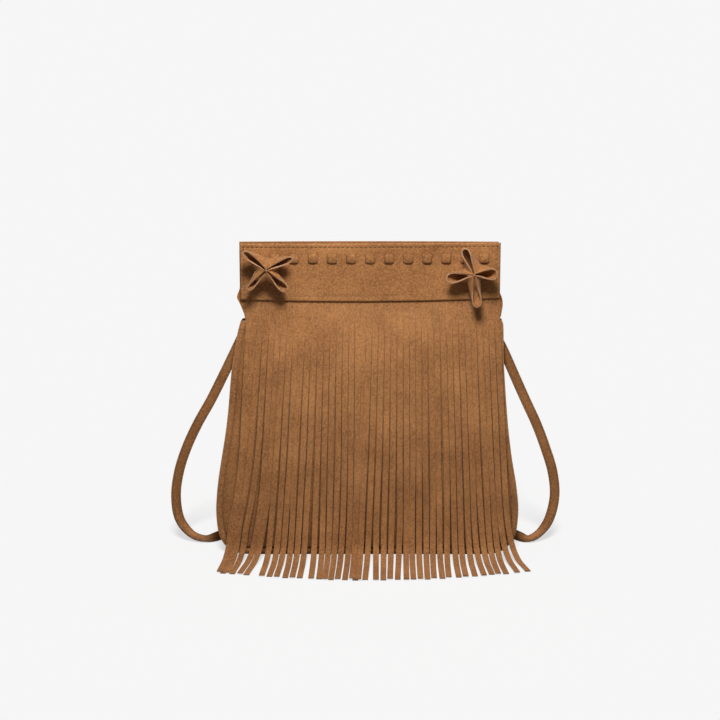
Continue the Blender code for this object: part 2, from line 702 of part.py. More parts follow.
def add_snap(material):
    """Two halves that face each other on the linings, the stud's nose just inside the socket's hole."""
    rim = SNAP_RADIUS
    lowest = min(outer_depth(rim, SNAP_HEIGHT + rim), outer_depth(rim, SNAP_HEIGHT - rim))
    backing = lowest - SUEDE - CLEAR - LINING - CLEAR
    floor = SOCKET_THICKNESS - SOCKET_HOLE_DEPTH
    hole = SOCKET_HOLE_RADIUS
    socket = ((rim, 0.0), (rim, SOCKET_THICKNESS), (hole, SOCKET_THICKNESS), (hole, floor))
    nose = STUD_PLATE + STUD_LENGTH
    stud = ((rim, 0.0), (rim, STUD_PLATE), (STUD_RADIUS, STUD_PLATE), (STUD_RADIUS, nose))
    turned_piece("snap_socket", socket, -1, backing, material)
    turned_piece("snap_stud", stud, 1, backing, material)


remove_all_objects()
suede = make_material("tan_suede", SUEDE_TAN, 0.95)
seam_suede = make_material("tan_suede_seam", SUEDE_SEAM, 0.95)
lining = make_material("brown_lining", LINING_BROWN, 0.90)
board = make_material("grey_board", BOARD_GREY, 0.80)
brass = make_material("antique_brass", ANTIQUE_BRASS, 0.35, 1.0)

panel_top = BAG_HEIGHT - PANEL_TOP_SETBACK
lining_top = BAG_HEIGHT - LINING_TOP_SETBACK
add_panel("front_panel", -1, 0.0, SUEDE, 0.0, panel_top, suede)
add_panel("rear_panel", 1, 0.0, SUEDE, 0.0, panel_top, suede)
add_panel("front_lining", -1, SUEDE + CLEAR, LINING, LINING_INSET, lining_top, lining)
add_panel("rear_lining", 1, SUEDE + CLEAR, LINING, LINING_INSET, lining_top, lining)
add_gusset(seam_suede)
add_gusset_lining(lining)
add_base_board(board)

slot_places = []
for centre in lace_centres():
    slot_places += [centre - LACE_SQUARE / 2, centre + LACE_SQUARE / 2]
add_band("front_band", -1, FRONT_BAND_STANDOFF, slot_places, suede)
add_band("rear_band", 1, CLEAR, [], suede)
add_lace(suede)
add_fringe(suede)
add_flower("left_flower", -1, LEFT_FLOWER_PLACE, LEFT_PETALS, suede)
add_flower("right_flower", 1, RIGHT_FLOWER_PLACE, RIGHT_PETALS, suede)
add_strap(suede)
add_snap(brass)
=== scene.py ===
import math

import bpy
import numpy as np
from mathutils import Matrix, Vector


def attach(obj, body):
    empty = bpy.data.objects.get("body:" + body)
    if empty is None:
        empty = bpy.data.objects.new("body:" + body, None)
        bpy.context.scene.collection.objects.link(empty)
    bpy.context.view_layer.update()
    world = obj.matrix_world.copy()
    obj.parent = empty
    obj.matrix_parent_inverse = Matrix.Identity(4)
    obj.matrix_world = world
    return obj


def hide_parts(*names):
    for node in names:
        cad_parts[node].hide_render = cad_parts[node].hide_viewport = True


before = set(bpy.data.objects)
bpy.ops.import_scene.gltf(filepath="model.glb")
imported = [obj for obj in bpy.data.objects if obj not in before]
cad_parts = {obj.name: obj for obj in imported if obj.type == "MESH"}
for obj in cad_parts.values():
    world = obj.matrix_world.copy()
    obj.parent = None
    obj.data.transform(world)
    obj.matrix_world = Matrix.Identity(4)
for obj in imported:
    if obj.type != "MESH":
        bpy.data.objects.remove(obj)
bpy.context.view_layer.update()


# The camera stands 1.7 m in front of the bag and looks down on it by 13 degrees through a long lens.
camera_data = bpy.data.cameras.new("camera")
camera_data.lens = 100
camera_data.sensor_width = 36
camera = bpy.data.objects.new("camera", camera_data)
camera.location = (-0.0076, -1.6723, 0.5469)
camera.rotation_euler = (math.radians(77), 0, 0)
bpy.context.scene.collection.objects.link(camera)
bpy.context.scene.camera = camera
bpy.context.scene.view_settings.view_transform = "Standard"


# Strap: two strips of suede sewn back to back with a row of stitches near each edge. Its ends are sewn
# into the pleats at the bag's sides. It hangs down at both sides and its slack lies behind the bag.
STRAP_WIDTH = 0.0085
STRAP_THICKNESS = 0.003
STRAP_LENGTH = 1.24
STITCH_PITCH = 0.0035
STITCH_LENGTH = 0.0027
STRAP_ROUTE = (
    ((-0.1040, 0.0000, 0.1900), (0.0, -1.0, 0.0)),
    ((-0.1095, 0.0000, 0.1795), (0.0, -1.0, 0.0)),
    ((-0.1150, 0.0000, 0.1680), (0.0, -1.0, 0.0)),
    ((-0.1254, 0.0000, 0.1467), (0.0, -1.0, 0.1)),
    ((-0.1361, 0.0000, 0.1254), (0.0, -1.0, 0.2)),
    ((-0.1481, 0.0000, 0.1040), (0.0, -1.0, 0.2)),
    ((-0.1580, 0.0000, 0.0825), (0.0, -1.0, 0.2)),
    ((-0.1650, 0.0000, 0.0609), (0.0, -1.0, 0.1)),
    ((-0.1680, 0.0000, 0.0391), (0.1, -1.0, 0.0)),
    ((-0.1650, -0.0020, 0.0190), (0.6, -0.8, 0.3)),
    ((-0.1545, -0.0060, 0.0064), (0.4, -0.3, 0.9)),
    ((-0.1420, -0.0080, 0.0028), (0.0, -0.1, 1.0)),
    ((-0.1310, -0.0040, 0.0042), (0.2, -0.6, 0.8)),
    ((-0.1245, 0.0060, 0.0046), (0.8, -0.6, 0.2)),
    ((-0.1227, 0.0220, 0.0046), (1.0, 0.0, 0.0)),
    ((-0.1227, 0.0420, 0.0046), (1.0, 0.0, 0.0)),
    ((-0.1150, 0.0590, 0.0046), (0.7, -0.7, 0.0)),
    ((-0.0880, 0.0680, 0.0046), (0.2, -1.0, 0.0)),
    ((-0.0450, 0.0660, 0.0046), (0.0, -1.0, 0.0)),
    ((0.0000, 0.0630, 0.0046), (0.0, -1.0, 0.0)),
    ((0.0450, 0.0650, 0.0046), (0.0, -1.0, 0.0)),
    ((0.0740, 0.0720, 0.0046), (0.5, -0.8, 0.0)),
    ((0.0840, 0.0880, 0.0046), (1.0, 0.1, 0.0)),
    ((0.0730, 0.1030, 0.0046), (0.4, 0.9, 0.0)),
    ((0.0440, 0.1060, 0.0046), (0.0, 1.0, 0.0)),
    ((0.0000, 0.1030, 0.0046), (0.0, 1.0, 0.0)),
    ((-0.0420, 0.1050, 0.0046), (0.0, 1.0, 0.0)),
    ((-0.0690, 0.1110, 0.0046), (0.4, 0.9, 0.0)),
    ((-0.0800, 0.1260, 0.0046), (1.0, 0.1, 0.0)),
    ((-0.0700, 0.1410, 0.0046), (0.5, -0.8, 0.0)),
    ((-0.0410, 0.1450, 0.0046), (0.0, -1.0, 0.0)),
    ((0.0050, 0.1420, 0.0046), (0.0, -1.0, 0.0)),
    ((0.0550, 0.1400, 0.0046), (0.0, -1.0, 0.0)),
    ((0.0920, 0.1310, 0.0046), (-0.5, -0.9, 0.0)),
    ((0.1120, 0.1060, 0.0046), (-0.9, -0.4, 0.0)),
    ((0.1225, 0.0720, 0.0046), (-1.0, 0.0, 0.0)),
    ((0.1232, 0.0420, 0.0046), (-1.0, 0.0, 0.0)),
    ((0.1232, 0.0200, 0.0046), (-1.0, 0.0, 0.0)),
    ((0.1248, 0.0050, 0.0046), (-0.8, -0.6, 0.2)),
    ((0.1310, -0.0050, 0.0042), (-0.2, -0.6, 0.8)),
    ((0.1395, -0.0080, 0.0028), (0.0, -0.1, 1.0)),
    ((0.1490, -0.0050, 0.0072), (-0.4, -0.3, 0.9)),
    ((0.1575, -0.0020, 0.0190), (-0.6, -0.8, 0.3)),
    ((0.1620, 0.0000, 0.0391), (-0.1, -1.0, 0.0)),
    ((0.1598, 0.0000, 0.0609), (0.0, -1.0, 0.1)),
    ((0.1532, 0.0000, 0.0825), (0.0, -1.0, 0.2)),
    ((0.1450, 0.0000, 0.1040), (0.0, -1.0, 0.2)),
    ((0.1351, 0.0000, 0.1254), (0.0, -1.0, 0.2)),
    ((0.1255, 0.0000, 0.1467), (0.0, -1.0, 0.1)),
    ((0.1160, 0.0000, 0.1680), (0.0, -1.0, 0.0)),
    ((0.1100, 0.0000, 0.1795), (0.0, -1.0, 0.0)),
    ((0.1040, 0.0000, 0.1900), (0.0, -1.0, 0.0)),
)
SUEDE_DARK = (0.205, 0.080, 0.025, 1.0)
SUEDE_LIGHT = (0.520, 0.232, 0.083, 1.0)
CUT_DARK = (0.330, 0.155, 0.065, 1.0)
CUT_LIGHT = (0.560, 0.320, 0.180, 1.0)
THREAD_DARK = (0.200, 0.085, 0.030, 1.0)
THREAD_LIGHT = (0.500, 0.270, 0.125, 1.0)
# near-black thread: its darkness is painted shade that stands in for the shadowed stitch holes and groove
THREAD_PAINTED_SHADE = ((0.045, 0.018, 0.007, 1.0), (0.170, 0.070, 0.024, 1.0))


def unit(vectors):
    """Vectors of length one along the last axis."""
    vectors = np.asarray(vectors, float)
    return vectors / np.maximum(np.linalg.norm(vectors, axis=-1, keepdims=True), 1e-12)


def smooth_share(value, start, end):
    share = np.clip((np.asarray(value, float) - start) / (end - start), 0.0, 1.0)
    return share * share * (3 - 2 * share)


def even_steps(points, count):
    """Even steps along the smooth curve through the points, with each step's place among the points."""
    spots = np.asarray(points, float)
    ends = np.vstack([2 * spots[0] - spots[1], spots, 2 * spots[-1] - spots[-2]])
    fine = []
    places = []
    for index in range(1, len(ends) - 2):
        before, start, end, after = ends[index - 1:index + 3]
        for share in np.arange(24) / 24:
            fine.append(0.5 * (2 * start + (end - before) * share
                               + (2 * before - 5 * start + 4 * end - after) * share ** 2
                               + (3 * start - before - 3 * end + after) * share ** 3))
            places.append(index - 1 + share)
    fine.append(spots[-1])
    places.append(len(spots) - 1)
    fine = np.array(fine)
    travelled = np.concatenate([[0.0], np.cumsum(np.linalg.norm(np.diff(fine, axis=0), axis=1))])
    wanted = np.linspace(0.0, travelled[-1], count)
    steps = np.stack([np.interp(wanted, travelled, fine[:, axis]) for axis in range(fine.shape[1])], axis=1)
    return steps, np.interp(wanted, travelled, places)


def make_piece(name, points, faces, materials, face_materials=None, sharp=40):
    """A mesh piece that rides on the bag's body and takes the materials given."""
    mesh = bpy.data.meshes.new(name)
    mesh.from_pydata([tuple(point) for point in points], [], faces)
    for material in materials:
        mesh.materials.append(material)
    if face_materials is not None:
        mesh.polygons.foreach_set("material_index", face_materials)
    mesh.validate()
    mesh.shade_smooth()
    mesh.set_sharp_from_angle(angle=math.radians(sharp))
    piece = bpy.data.objects.new(name, mesh)
    bpy.context.scene.collection.objects.link(piece)
    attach(piece, "root")
    return piece


def tube_faces(ring_count, size, first=0):
    """Faces of a capped tube that passes through closed rings of points."""
    faces = []
    for ring in range(ring_count - 1):
        low = first + ring * size
        for index in range(size):
            after = (index + 1) % size
            faces.append((low + index, low + after, low + size + after, low + size + index))
    faces.append(tuple(first + index for index in reversed(range(size))))
    last = first + (ring_count - 1) * size
    faces.append(tuple(last + index for index in range(size)))
    return faces


def noise_node(nodes, links, source, scale, detail, roughness=0.55):
    node = nodes.new("ShaderNodeTexNoise")
    node.inputs["Scale"].default_value = scale
    node.inputs["Detail"].default_value = detail
    node.inputs["Roughness"].default_value = roughness
    links.new(source, node.inputs["Vector"])
    return node


def math_node(nodes, links, operation, first, second):
    node = nodes.new("ShaderNodeMath")
    node.operation = operation
    for socket, value in zip(node.inputs, (first, second)):
        if isinstance(value, float):
            socket.default_value = value
        else:
            links.new(value, socket)
    return node.outputs["Value"]


def suede_finish(name, dark, light, nap=0.00028, patch_size=0.035, sheen=0.20):
    """Brushed suede: patches of nap that lie different ways, a fine grain, and short raised fibres."""
    material = bpy.data.materials.new(name)
    material.use_nodes = True
    nodes = material.node_tree.nodes
    links = material.node_tree.links
    shader = nodes["Principled BSDF"]
    place = nodes.new("ShaderNodeTexCoord").outputs["Object"]
    patches = noise_node(nodes, links, place, 1 / patch_size, 4.0, 0.6)
    grain = noise_node(nodes, links, place, 620.0, 3.0, 0.7)
    fibres = noise_node(nodes, links, place, 1900.0, 4.0, 0.75)
    shade = math_node(nodes, links, "MULTIPLY", patches.outputs["Fac"], 0.55)
    speck = math_node(nodes, links, "MULTIPLY", grain.outputs["Fac"], 1.0)
    mix = math_node(nodes, links, "ADD", shade, speck)
    spread = nodes.new("ShaderNodeMapRange")
    spread.inputs["From Min"].default_value = 0.55
    spread.inputs["From Max"].default_value = 1.0
    links.new(mix, spread.inputs["Value"])
    ramp = nodes.new("ShaderNodeValToRGB")
    ramp.color_ramp.elements[0].color = dark
    ramp.color_ramp.elements[1].color = light
    links.new(spread.outputs["Result"], ramp.inputs["Fac"])
    links.new(ramp.outputs["Color"], shader.inputs["Base Color"])
    bump = nodes.new("ShaderNodeBump")
    bump.inputs["Strength"].default_value = 0.8
    bump.inputs["Distance"].default_value = nap
    height = math_node(nodes, links, "ADD", fibres.outputs["Fac"], grain.outputs["Fac"])
    links.new(height, bump.inputs["Height"])
    links.new(bump.outputs["Normal"], shader.inputs["Normal"])
    rough = nodes.new("ShaderNodeMapRange")
    rough.inputs["To Min"].default_value = 0.82
    rough.inputs["To Max"].default_value = 1.0
    links.new(fibres.outputs["Fac"], rough.inputs["Value"])
    links.new(rough.outputs["Result"], shader.inputs["Roughness"])
    shader.inputs["Specular IOR Level"].default_value = 0.20
    shader.inputs["Sheen Weight"].default_value = sheen
    shader.inputs["Sheen Roughness"].default_value = 0.45
    shader.inputs["Sheen Tint"].default_value = (1.0, 0.72, 0.50, 1.0)
    return material


def thread_finish(name, dark, light):
    """Twisted polyester thread, slightly glossy."""
    material = bpy.data.materials.new(name)
    material.use_nodes = True
    nodes = material.node_tree.nodes
    links = material.node_tree.links
    shader = nodes["Principled BSDF"]
    place = nodes.new("ShaderNodeTexCoord").outputs["Object"]
    twist = noise_node(nodes, links, place, 2600.0, 2.0)
    ramp = nodes.new("ShaderNodeValToRGB")
    ramp.color_ramp.elements[0].color = dark
    ramp.color_ramp.elements[0].position = 0.35
    ramp.color_ramp.elements[1].color = light
    ramp.color_ramp.elements[1].position = 0.65
    links.new(twist.outputs["Fac"], ramp.inputs["Fac"])
    links.new(ramp.outputs["Color"], shader.inputs["Base Color"])
    bump = nodes.new("ShaderNodeBump")
    bump.inputs["Distance"].default_value = 0.00005
    links.new(twist.outputs["Fac"], bump.inputs["Height"])
    links.new(bump.outputs["Normal"], shader.inputs["Normal"])
    shader.inputs["Roughness"].default_value = 0.55
    return material


# along one stitch: the place in its length, its thickness there, and its height over the leather, in radii
THREAD_ARCH = ((-0.5, 0.35, -0.9), (-0.32, 0.9, 0.1), (0.0, 1.0, 0.35), (0.32, 0.9, 0.1), (0.5, 0.35, -0.9))


def stitch_row(spots, outward, length, radius=0.00026):
    """Points and faces of short threads laid along a line of spots, with their ends in the leather."""
    spots = np.asarray(spots, float)
    outward = unit(outward)
    along = unit(np.gradient(spots, axis=0))
    side = unit(np.cross(along, outward))
    points = []
    faces = []
    angles = np.arange(6) * math.pi / 3
    for spot, run, out, across in zip(spots, along, outward, side):
        first = len(points)
        for share, size, rise in THREAD_ARCH:
            centre = spot + run * share * length + out * radius * rise
            for angle in angles:
                points.append(centre + (across * math.cos(angle) + out * math.sin(angle)) * radius * size)
        faces += tube_faces(5, 6, first)
    return points, faces


def join_meshes(parts):
    points = []
    faces = []
    for more_points, more_faces in parts:
        first = len(points)
        points += list(more_points)
        faces += [tuple(first + corner for corner in face) for face in more_faces]
    return points, faces


suede = suede_finish("tan_suede", SUEDE_DARK, SUEDE_LIGHT)
cut_edge = suede_finish("cut_suede_edge", CUT_DARK, CUT_LIGHT, 0.00018, 0.010, 0.10)
thread = thread_finish("tan_thread", THREAD_DARK, THREAD_LIGHT)
thread_painted_shade = thread_finish("thread_painted_shade", *THREAD_PAINTED_SHADE)

strap_steps, strap_places = even_steps([place for place, face in STRAP_ROUTE], 420)
strap_faces = np.array([face for place, face in STRAP_ROUTE])
strap_looks = np.stack([np.interp(strap_places, np.arange(len(strap_faces)), strap_faces[:, axis])
                        for axis in range(3)], axis=1)
strap_run = unit(np.gradient(strap_steps, axis=0))
strap_side = unit(np.cross(strap_run, strap_looks))
strap_out = unit(np.cross(strap_side, strap_run))
half_width = STRAP_WIDTH / 2
half_thick = STRAP_THICKNESS / 2
strap_half_profile = (
    (half_width - 0.00035, 0.00002), (half_width - 0.00004, 0.00025), (half_width, 0.00075),
    (half_width - 0.00010, 0.00120), (half_width - 0.00045, half_thick),
    (half_width - 0.00090, half_thick - 0.00004),
    (half_width - 0.00125, half_thick - 0.00028), (half_width - 0.00165, half_thick - 0.00004),
    (half_width - 0.0026, half_thick + 0.00006), (0.0, half_thick + 0.00008),
)
strap_profile = list(strap_half_profile)
strap_profile += [(-side, out) for side, out in reversed(strap_half_profile[:-1])]
strap_profile += [(-side, -out) for side, out in strap_half_profile]
strap_profile += [(side, -out) for side, out in reversed(strap_half_profile[:-1])]
strap_points = []
for spot, side, out in zip(strap_steps, strap_side, strap_out):
    for across, rise in strap_profile:
        strap_points.append(spot + side * across + out * rise)
strap_size = len(strap_profile)
strap_mesh_faces = tube_faces(len(strap_steps), strap_size)
edge_columns = {0, 1, 2, 16, 17, 18, 19, 20, 21, 35, 36, 37}
strap_face_kinds = [1 if index % strap_size in edge_columns else 0 for index in range(len(strap_mesh_faces))]
strap = make_piece("shoulder_strap", strap_points, strap_mesh_faces, [suede, cut_edge],
                   strap_face_kinds)
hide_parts("strap")

STRAP_STITCH_INSET = 0.00125
STRAP_STITCH_SINK = 0.00020
strap_rows = []
pitch_steps, pitch_places = even_steps(strap_steps, int(STRAP_LENGTH / STITCH_PITCH))
row_frames = []
for source in (strap_side, strap_out):
    row_frames.append(unit(np.stack([np.interp(pitch_places, np.arange(len(source)), source[:, axis])
                                     for axis in range(3)], axis=1)))
for edge in (-1, 1):
    for face in (-1, 1):
        line = pitch_steps + row_frames[0] * edge * (half_width - STRAP_STITCH_INSET)
        line = line + row_frames[1] * face * (half_thick - STRAP_STITCH_SINK)
        strap_rows.append(stitch_row(line, row_frames[1] * face, STITCH_LENGTH))
strap_points, strap_mesh_faces = join_meshes(strap_rows)
# The strap's stitches take the near-black thread, whose darkness is painted shade of the holes and groove.
strap_stitches = make_piece("strap_stitches", strap_points, strap_mesh_faces, [thread_painted_shade])


# Floor and light: a plain pale floor that runs out of view, a soft lamp above the front, a weak one behind,
# pale surroundings, and a lamp for the floor alone, so that it stays evenly pale and keeps the shadow.
BACKGROUND = 0.922
FLOOR_SHADE = 0.30


def background_switch(nodes, links):
    """One for rays that see the background: from the camera, from a shine or through something clear."""
    rays = nodes.new("ShaderNodeLightPath")
    seen = math_node(nodes, links, "MAXIMUM", rays.outputs["Is Camera Ray"], rays.outputs["Is Glossy Ray"])
    return math_node(nodes, links, "MAXIMUM", seen, rays.outputs["Is Transmission Ray"])


floor_material = bpy.data.materials.new("pale_floor")
floor_material.use_nodes = True
floor_nodes = floor_material.node_tree.nodes
floor_links = floor_material.node_tree.links
floor_nodes.remove(floor_nodes["Principled BSDF"])
floor_glow = floor_nodes.new("ShaderNodeEmission")
floor_glow.inputs["Color"].default_value = (BACKGROUND, BACKGROUND, BACKGROUND, 1.0)
floor_glow.inputs["Strength"].default_value = 1.0 - FLOOR_SHADE
floor_shade = floor_nodes.new("ShaderNodeBsdfDiffuse")
floor_shade.inputs["Color"].default_value = (0.262, 0.262, 0.262, 1.0)
floor_seen = floor_nodes.new("ShaderNodeAddShader")
floor_links.new(floor_glow.outputs["Emission"], floor_seen.inputs[0])
floor_links.new(floor_shade.outputs["BSDF"], floor_seen.inputs[1])
floor_bounce = floor_nodes.new("ShaderNodeBsdfDiffuse")
floor_bounce.inputs["Color"].default_value = (0.20, 0.20, 0.20, 1.0)
floor_mix = floor_nodes.new("ShaderNodeMixShader")
floor_links.new(background_switch(floor_nodes, floor_links), floor_mix.inputs["Fac"])
floor_links.new(floor_bounce.outputs["BSDF"], floor_mix.inputs[1])
floor_links.new(floor_seen.outputs["Shader"], floor_mix.inputs[2])
floor_links.new(floor_mix.outputs["Shader"], floor_nodes["Material Output"].inputs["Surface"])
floor_mesh = bpy.data.meshes.new("floor")
floor_mesh.from_pydata([(-40, -40, 0), (40, -40, 0), (40, 40, 0), (-40, 40, 0)], [], [(0, 1, 2, 3)])
floor_mesh.materials.append(floor_material)
floor = bpy.data.objects.new("floor", floor_mesh)
bpy.context.scene.collection.objects.link(floor)

world = bpy.data.worlds.new("studio")
world.use_nodes = True
bpy.context.scene.world = world
world_nodes = world.node_tree.nodes
world_links = world.node_tree.links
surroundings = world_nodes["Background"]
surroundings.inputs["Color"].default_value = (1.0, 1.0, 1.0, 1.0)
surroundings.inputs["Strength"].default_value = 0.12
backdrop = world_nodes.new("ShaderNodeBackground")
backdrop.inputs["Color"].default_value = (BACKGROUND, BACKGROUND, BACKGROUND, 1.0)
world_mix = world_nodes.new("ShaderNodeMixShader")
world_links.new(background_switch(world_nodes, world_links), world_mix.inputs["Fac"])
world_links.new(surroundings.outputs["Background"], world_mix.inputs[1])
world_links.new(backdrop.outputs["Background"], world_mix.inputs[2])
world_links.new(world_mix.outputs["Shader"], world_nodes["World Output"].inputs["Surface"])


def add_lamp(name, kind, place, strength, size):
    """A lamp at a place that points at the middle of the bag. A sun's size is an angle in degrees."""
    lamp_data = bpy.data.lights.new(name, kind)
    lamp_data.energy = strength
    if kind == "SUN":
        lamp_data.angle = math.radians(size)
    else:
        lamp_data.size = size
    lamp = bpy.data.objects.new(name, lamp_data)
    lamp.location = place
    lamp.rotation_euler = (Vector((0.0, 0.0, 0.13)) - Vector(place)).to_track_quat("-Z", "Y").to_euler()
    bpy.context.scene.collection.objects.link(lamp)
    return lamp


def light_floor(lamp, lit):
    """Let a lamp light the floor alone, or everything but the floor."""
    lit_things = bpy.data.collections.new(lamp.name + "_lights")
    lit_things.objects.link(floor)
    lamp.light_linking.receiver_collection = lit_things
    lit_things.collection_objects[0].light_linking.link_state = "INCLUDE" if lit else "EXCLUDE"


light_floor(add_lamp("high_lamp", "AREA", (0.01, -0.42, 0.72), 4.95, 0.18), False)
light_floor(add_lamp("rear_lamp", "AREA", (0.10, 0.62, 0.80), 4.0, 0.40), False)
light_floor(add_lamp("floor_lamp", "SUN", (0.0, -0.60, 0.95), 3.63, 16), True)


# Front and rear panels: 1 mm suede, bowed out by what the bag holds, with rounded lower corners. Each is
# sewn to the gusset 5 mm inside its edge, so that the raw edges stand out as a flange all round.
BAG_HEIGHT = 0.263
BAND_BOTTOM = 0.214
BASE_DEPTH = 0.084
BASE_WIDTH = 0.258
SHOULDER_WIDTH = 0.2224
CORNER_RADIUS = 0.031
BELLY = 0.012
MOUTH_BOW = 0.0024
SUEDE = 0.001
LINING = 0.0006
CLEAR = 0.0003
SEAM_WIDTH = 0.005
EDGE_TOP = CLEAR / 2 + LINING + CLEAR + SUEDE
# outer edge of the seams, from the flange's top end down to the middle of the base
LEFT_OUTLINE = (
    (-0.1075, 0.1988), (-0.1093, 0.1952), (-0.1122, 0.1850), (-0.1150, 0.1680), (-0.1176, 0.1500),
    (-0.1202, 0.1200), (-0.1227, 0.1000), (-0.1260, 0.0800), (-0.1290, 0.0600), (-0.1305, 0.0420),
    (-0.1301, 0.0280), (-0.1280, 0.0165), (-0.1225, 0.0070), (-0.1130, 0.0015), (-0.1000, 0.0000),
    (-0.0600, 0.0000), (0.0, 0.0000),
)
RIGHT_OUTLINE = (
    (0.1128, 0.1988), (0.1143, 0.1952), (0.1148, 0.1850), (0.1149, 0.1680), (0.1157, 0.1500),
    (0.1178, 0.1200), (0.1197, 0.1000), (0.1223, 0.0800), (0.1257, 0.0600), (0.1277, 0.0420),
    (0.1273, 0.0280), (0.1252, 0.0170), (0.1196, 0.0075), (0.1105, 0.0015), (0.0980, 0.0000),
    (0.0600, 0.0000), (0.0, 0.0000),
)
# free edge of the front panel between the flange's top end and the band
LEFT_EAR = ((-0.1052, 0.1960), (-0.1059, 0.2010), (-0.1076, 0.2055), (-0.1100, 0.2110), (-0.1122, 0.2150),
            (-0.1120, 0.2180), (-0.1098, 0.2240), (-0.1085, 0.2360), (-0.1085, 0.2600))
RIGHT_EAR = ((0.1097, 0.1960), (0.1122, 0.1995), (0.1131, 0.2040), (0.1140, 0.2095), (0.1135, 0.2150),
             (0.1122, 0.2180), (0.1104, 0.2240), (0.1100, 0.2360), (0.1100, 0.2600))


def body_half_width(height):
    share = np.clip((np.asarray(height, float) - CORNER_RADIUS) / (BAND_BOTTOM - CORNER_RADIUS), 0.0, 1.0)
    return SHOULDER_WIDTH / 2 + (BASE_WIDTH - SHOULDER_WIDTH) / 2 * (1 - share) ** 1.4


def outer_depth(across, height):
    """Distance from the bag's middle plane to a panel's outer face."""
    rise = np.minimum(np.asarray(height, float) / BAND_BOTTOM, 1.0)
    edge = BASE_DEPTH / 2 + (EDGE_TOP - BASE_DEPTH / 2) * rise
    level = np.clip(np.asarray(height, float) / BAG_HEIGHT, 0.0, 1.0)
    belly = BELLY * level ** 0.8 * (1 - level) ** 1.3 / ((8 / 21) ** 0.8 * (13 / 21) ** 1.3)
    crown = np.maximum(1 - (across / body_half_width(height)) ** 2, -0.06)
    return edge + (belly + MOUTH_BOW * level) * crown


def seam_line(count):
    """Points and outward directions along the seams' outer edge, from the left flange's top to the right."""
    left, places = even_steps(LEFT_OUTLINE, count)
    right, places = even_steps(RIGHT_OUTLINE, count)
    line = np.vstack([left[:-1], [[0.0, 0.0]], right[:-1][::-1]])
    run = unit(np.gradient(line, axis=0))
    outward = np.stack([run[:, 1], -run[:, 0]], axis=1)
    return line, outward


def dents(across, height, seed):
    """Slow unevenness of soft leather, in metres, fading out at the seams."""
    waves = np.zeros(np.broadcast(across, height).shape)
    for index in range(6):
        turn = seed * 1.7 + index * 2.4
        length = 0.045 + 0.017 * index
        phase = (across * math.cos(turn) + height * math.sin(turn)) / length * 2 * math.pi
        waves = waves + np.sin(phase + seed + index * 1.3) * (0.35 + 0.12 * index)
    return waves * 0.00035


def slab(near, far, is_hole=None, first=0, pale=()):
    """Points and faces of a sheet between two grids of points, closed round its rim and its holes.

    The columns named in pale have the look of the cut edge on their near side."""
    near = np.asarray(near, float)
    far = np.asarray(far, float)
    rows, columns = near.shape[:2]
    half = rows * columns
    solid = np.ones((rows - 1, columns - 1), bool)
    if is_hole is not None:
        solid &= ~is_hole
    framed = np.pad(solid, 1)
    faces = []
    kinds = []

    def corner(row, column, back):
        return first + back * half + row * columns + column

    for row, column in np.argwhere(solid):
        ring = ((row, column), (row, column + 1), (row + 1, column + 1), (row + 1, column))
        faces.append(tuple(corner(*place, 0) for place in ring))
        faces.append(tuple(corner(*place, 1) for place in reversed(ring)))
        kinds += [1 if column in pale else 0, 0]
        beside = ((row - 1, column), (row, column + 1), (row + 1, column), (row, column - 1))
        for index, (next_row, next_column) in enumerate(beside):
            if framed[next_row + 1, next_column + 1]:
                continue
            start = ring[index]
            end = ring[(index + 1) % 4]
            faces.append((corner(*end, 0), corner(*start, 0), corner(*start, 1), corner(*end, 1)))
            kinds.append(1)
    return np.vstack([near.reshape(-1, 3), far.reshape(-1, 3)]), faces, kinds


def used_only(points, faces):
    """Leave out points that no face uses."""
    used = sorted({corner for face in faces for corner in face})
    numbers = {old: new for new, old in enumerate(used)}
    return np.asarray(points)[used], [tuple(numbers[corner] for corner in face) for face in faces]


def make_slab(name, near, far, materials, is_hole=None, sharp=40, pale=()):
    points, faces, kinds = slab(near, far, is_hole, 0, pale)
    points, faces = used_only(points, faces)
    return make_piece(name, points, faces, materials, kinds, sharp)


line_points, line_outward = seam_line(120)
inner_line = line_points - line_outward * (SEAM_WIDTH - 0.0003)
middle = len(line_points) // 2


def side_at(height, side):
    """Where a panel's body ends at a height: on the seam below the shoulder, on its free edge above it."""
    seam = inner_line[:middle] if side < 0 else inner_line[middle + 1:][::-1]
    low = np.argmin(np.abs(np.abs(seam[:, 0]) - 0.095))
    seam = seam[:low + 1][::-1]
    ear, places = even_steps(LEFT_EAR if side < 0 else RIGHT_EAR, 60)
    seam = seam[seam[:, 1] < 0.1955]
    line = np.vstack([seam, ear])
    return np.interp(height, line[:, 1], line[:, 0])


def panel_body(facing, top, seed):
    """The panel inside its seams, turned down a little where it meets them."""
    corner_rows = 0.0047 + 0.028 * (1 - np.cos(np.linspace(0, math.pi / 2, 15)))
    rows = np.concatenate([corner_rows, np.linspace(0.035, 0.194, 62), np.linspace(0.1965, top, 30)])
    shares = np.concatenate([[0.0, 0.002, 0.005, 0.010, 0.017, 0.026], np.linspace(0.04, 0.96, 60),
                             [0.974, 0.983, 0.990, 0.995, 0.998, 1.0]])
    left = side_at(rows, -1)
    right = side_at(rows, 1)
    across = left[:, None] + (right - left)[:, None] * shares[None, :]
    height = np.repeat(rows[:, None], len(shares), axis=1)
    from_side = np.minimum(across - left[:, None], right[:, None] - across)
    from_edge = np.minimum(from_side, height - rows[0])
    sewn = 1 - smooth_share(height, 0.190, 0.200)
    fall = np.maximum(1 - from_edge / 0.0030, 0.0) ** 2 * 0.0022 * sewn
    uneven = dents(across, height, seed) * smooth_share(from_edge, 0.0, 0.03)
    depth = outer_depth(across, height) + uneven - fall
    near = np.stack([across, facing * depth, height], axis=-1)
    far = np.stack([across, facing * (depth - SUEDE), height], axis=-1)
    return near, far


FLANGE_COLUMNS = 9
FLANGE_RIM = 2


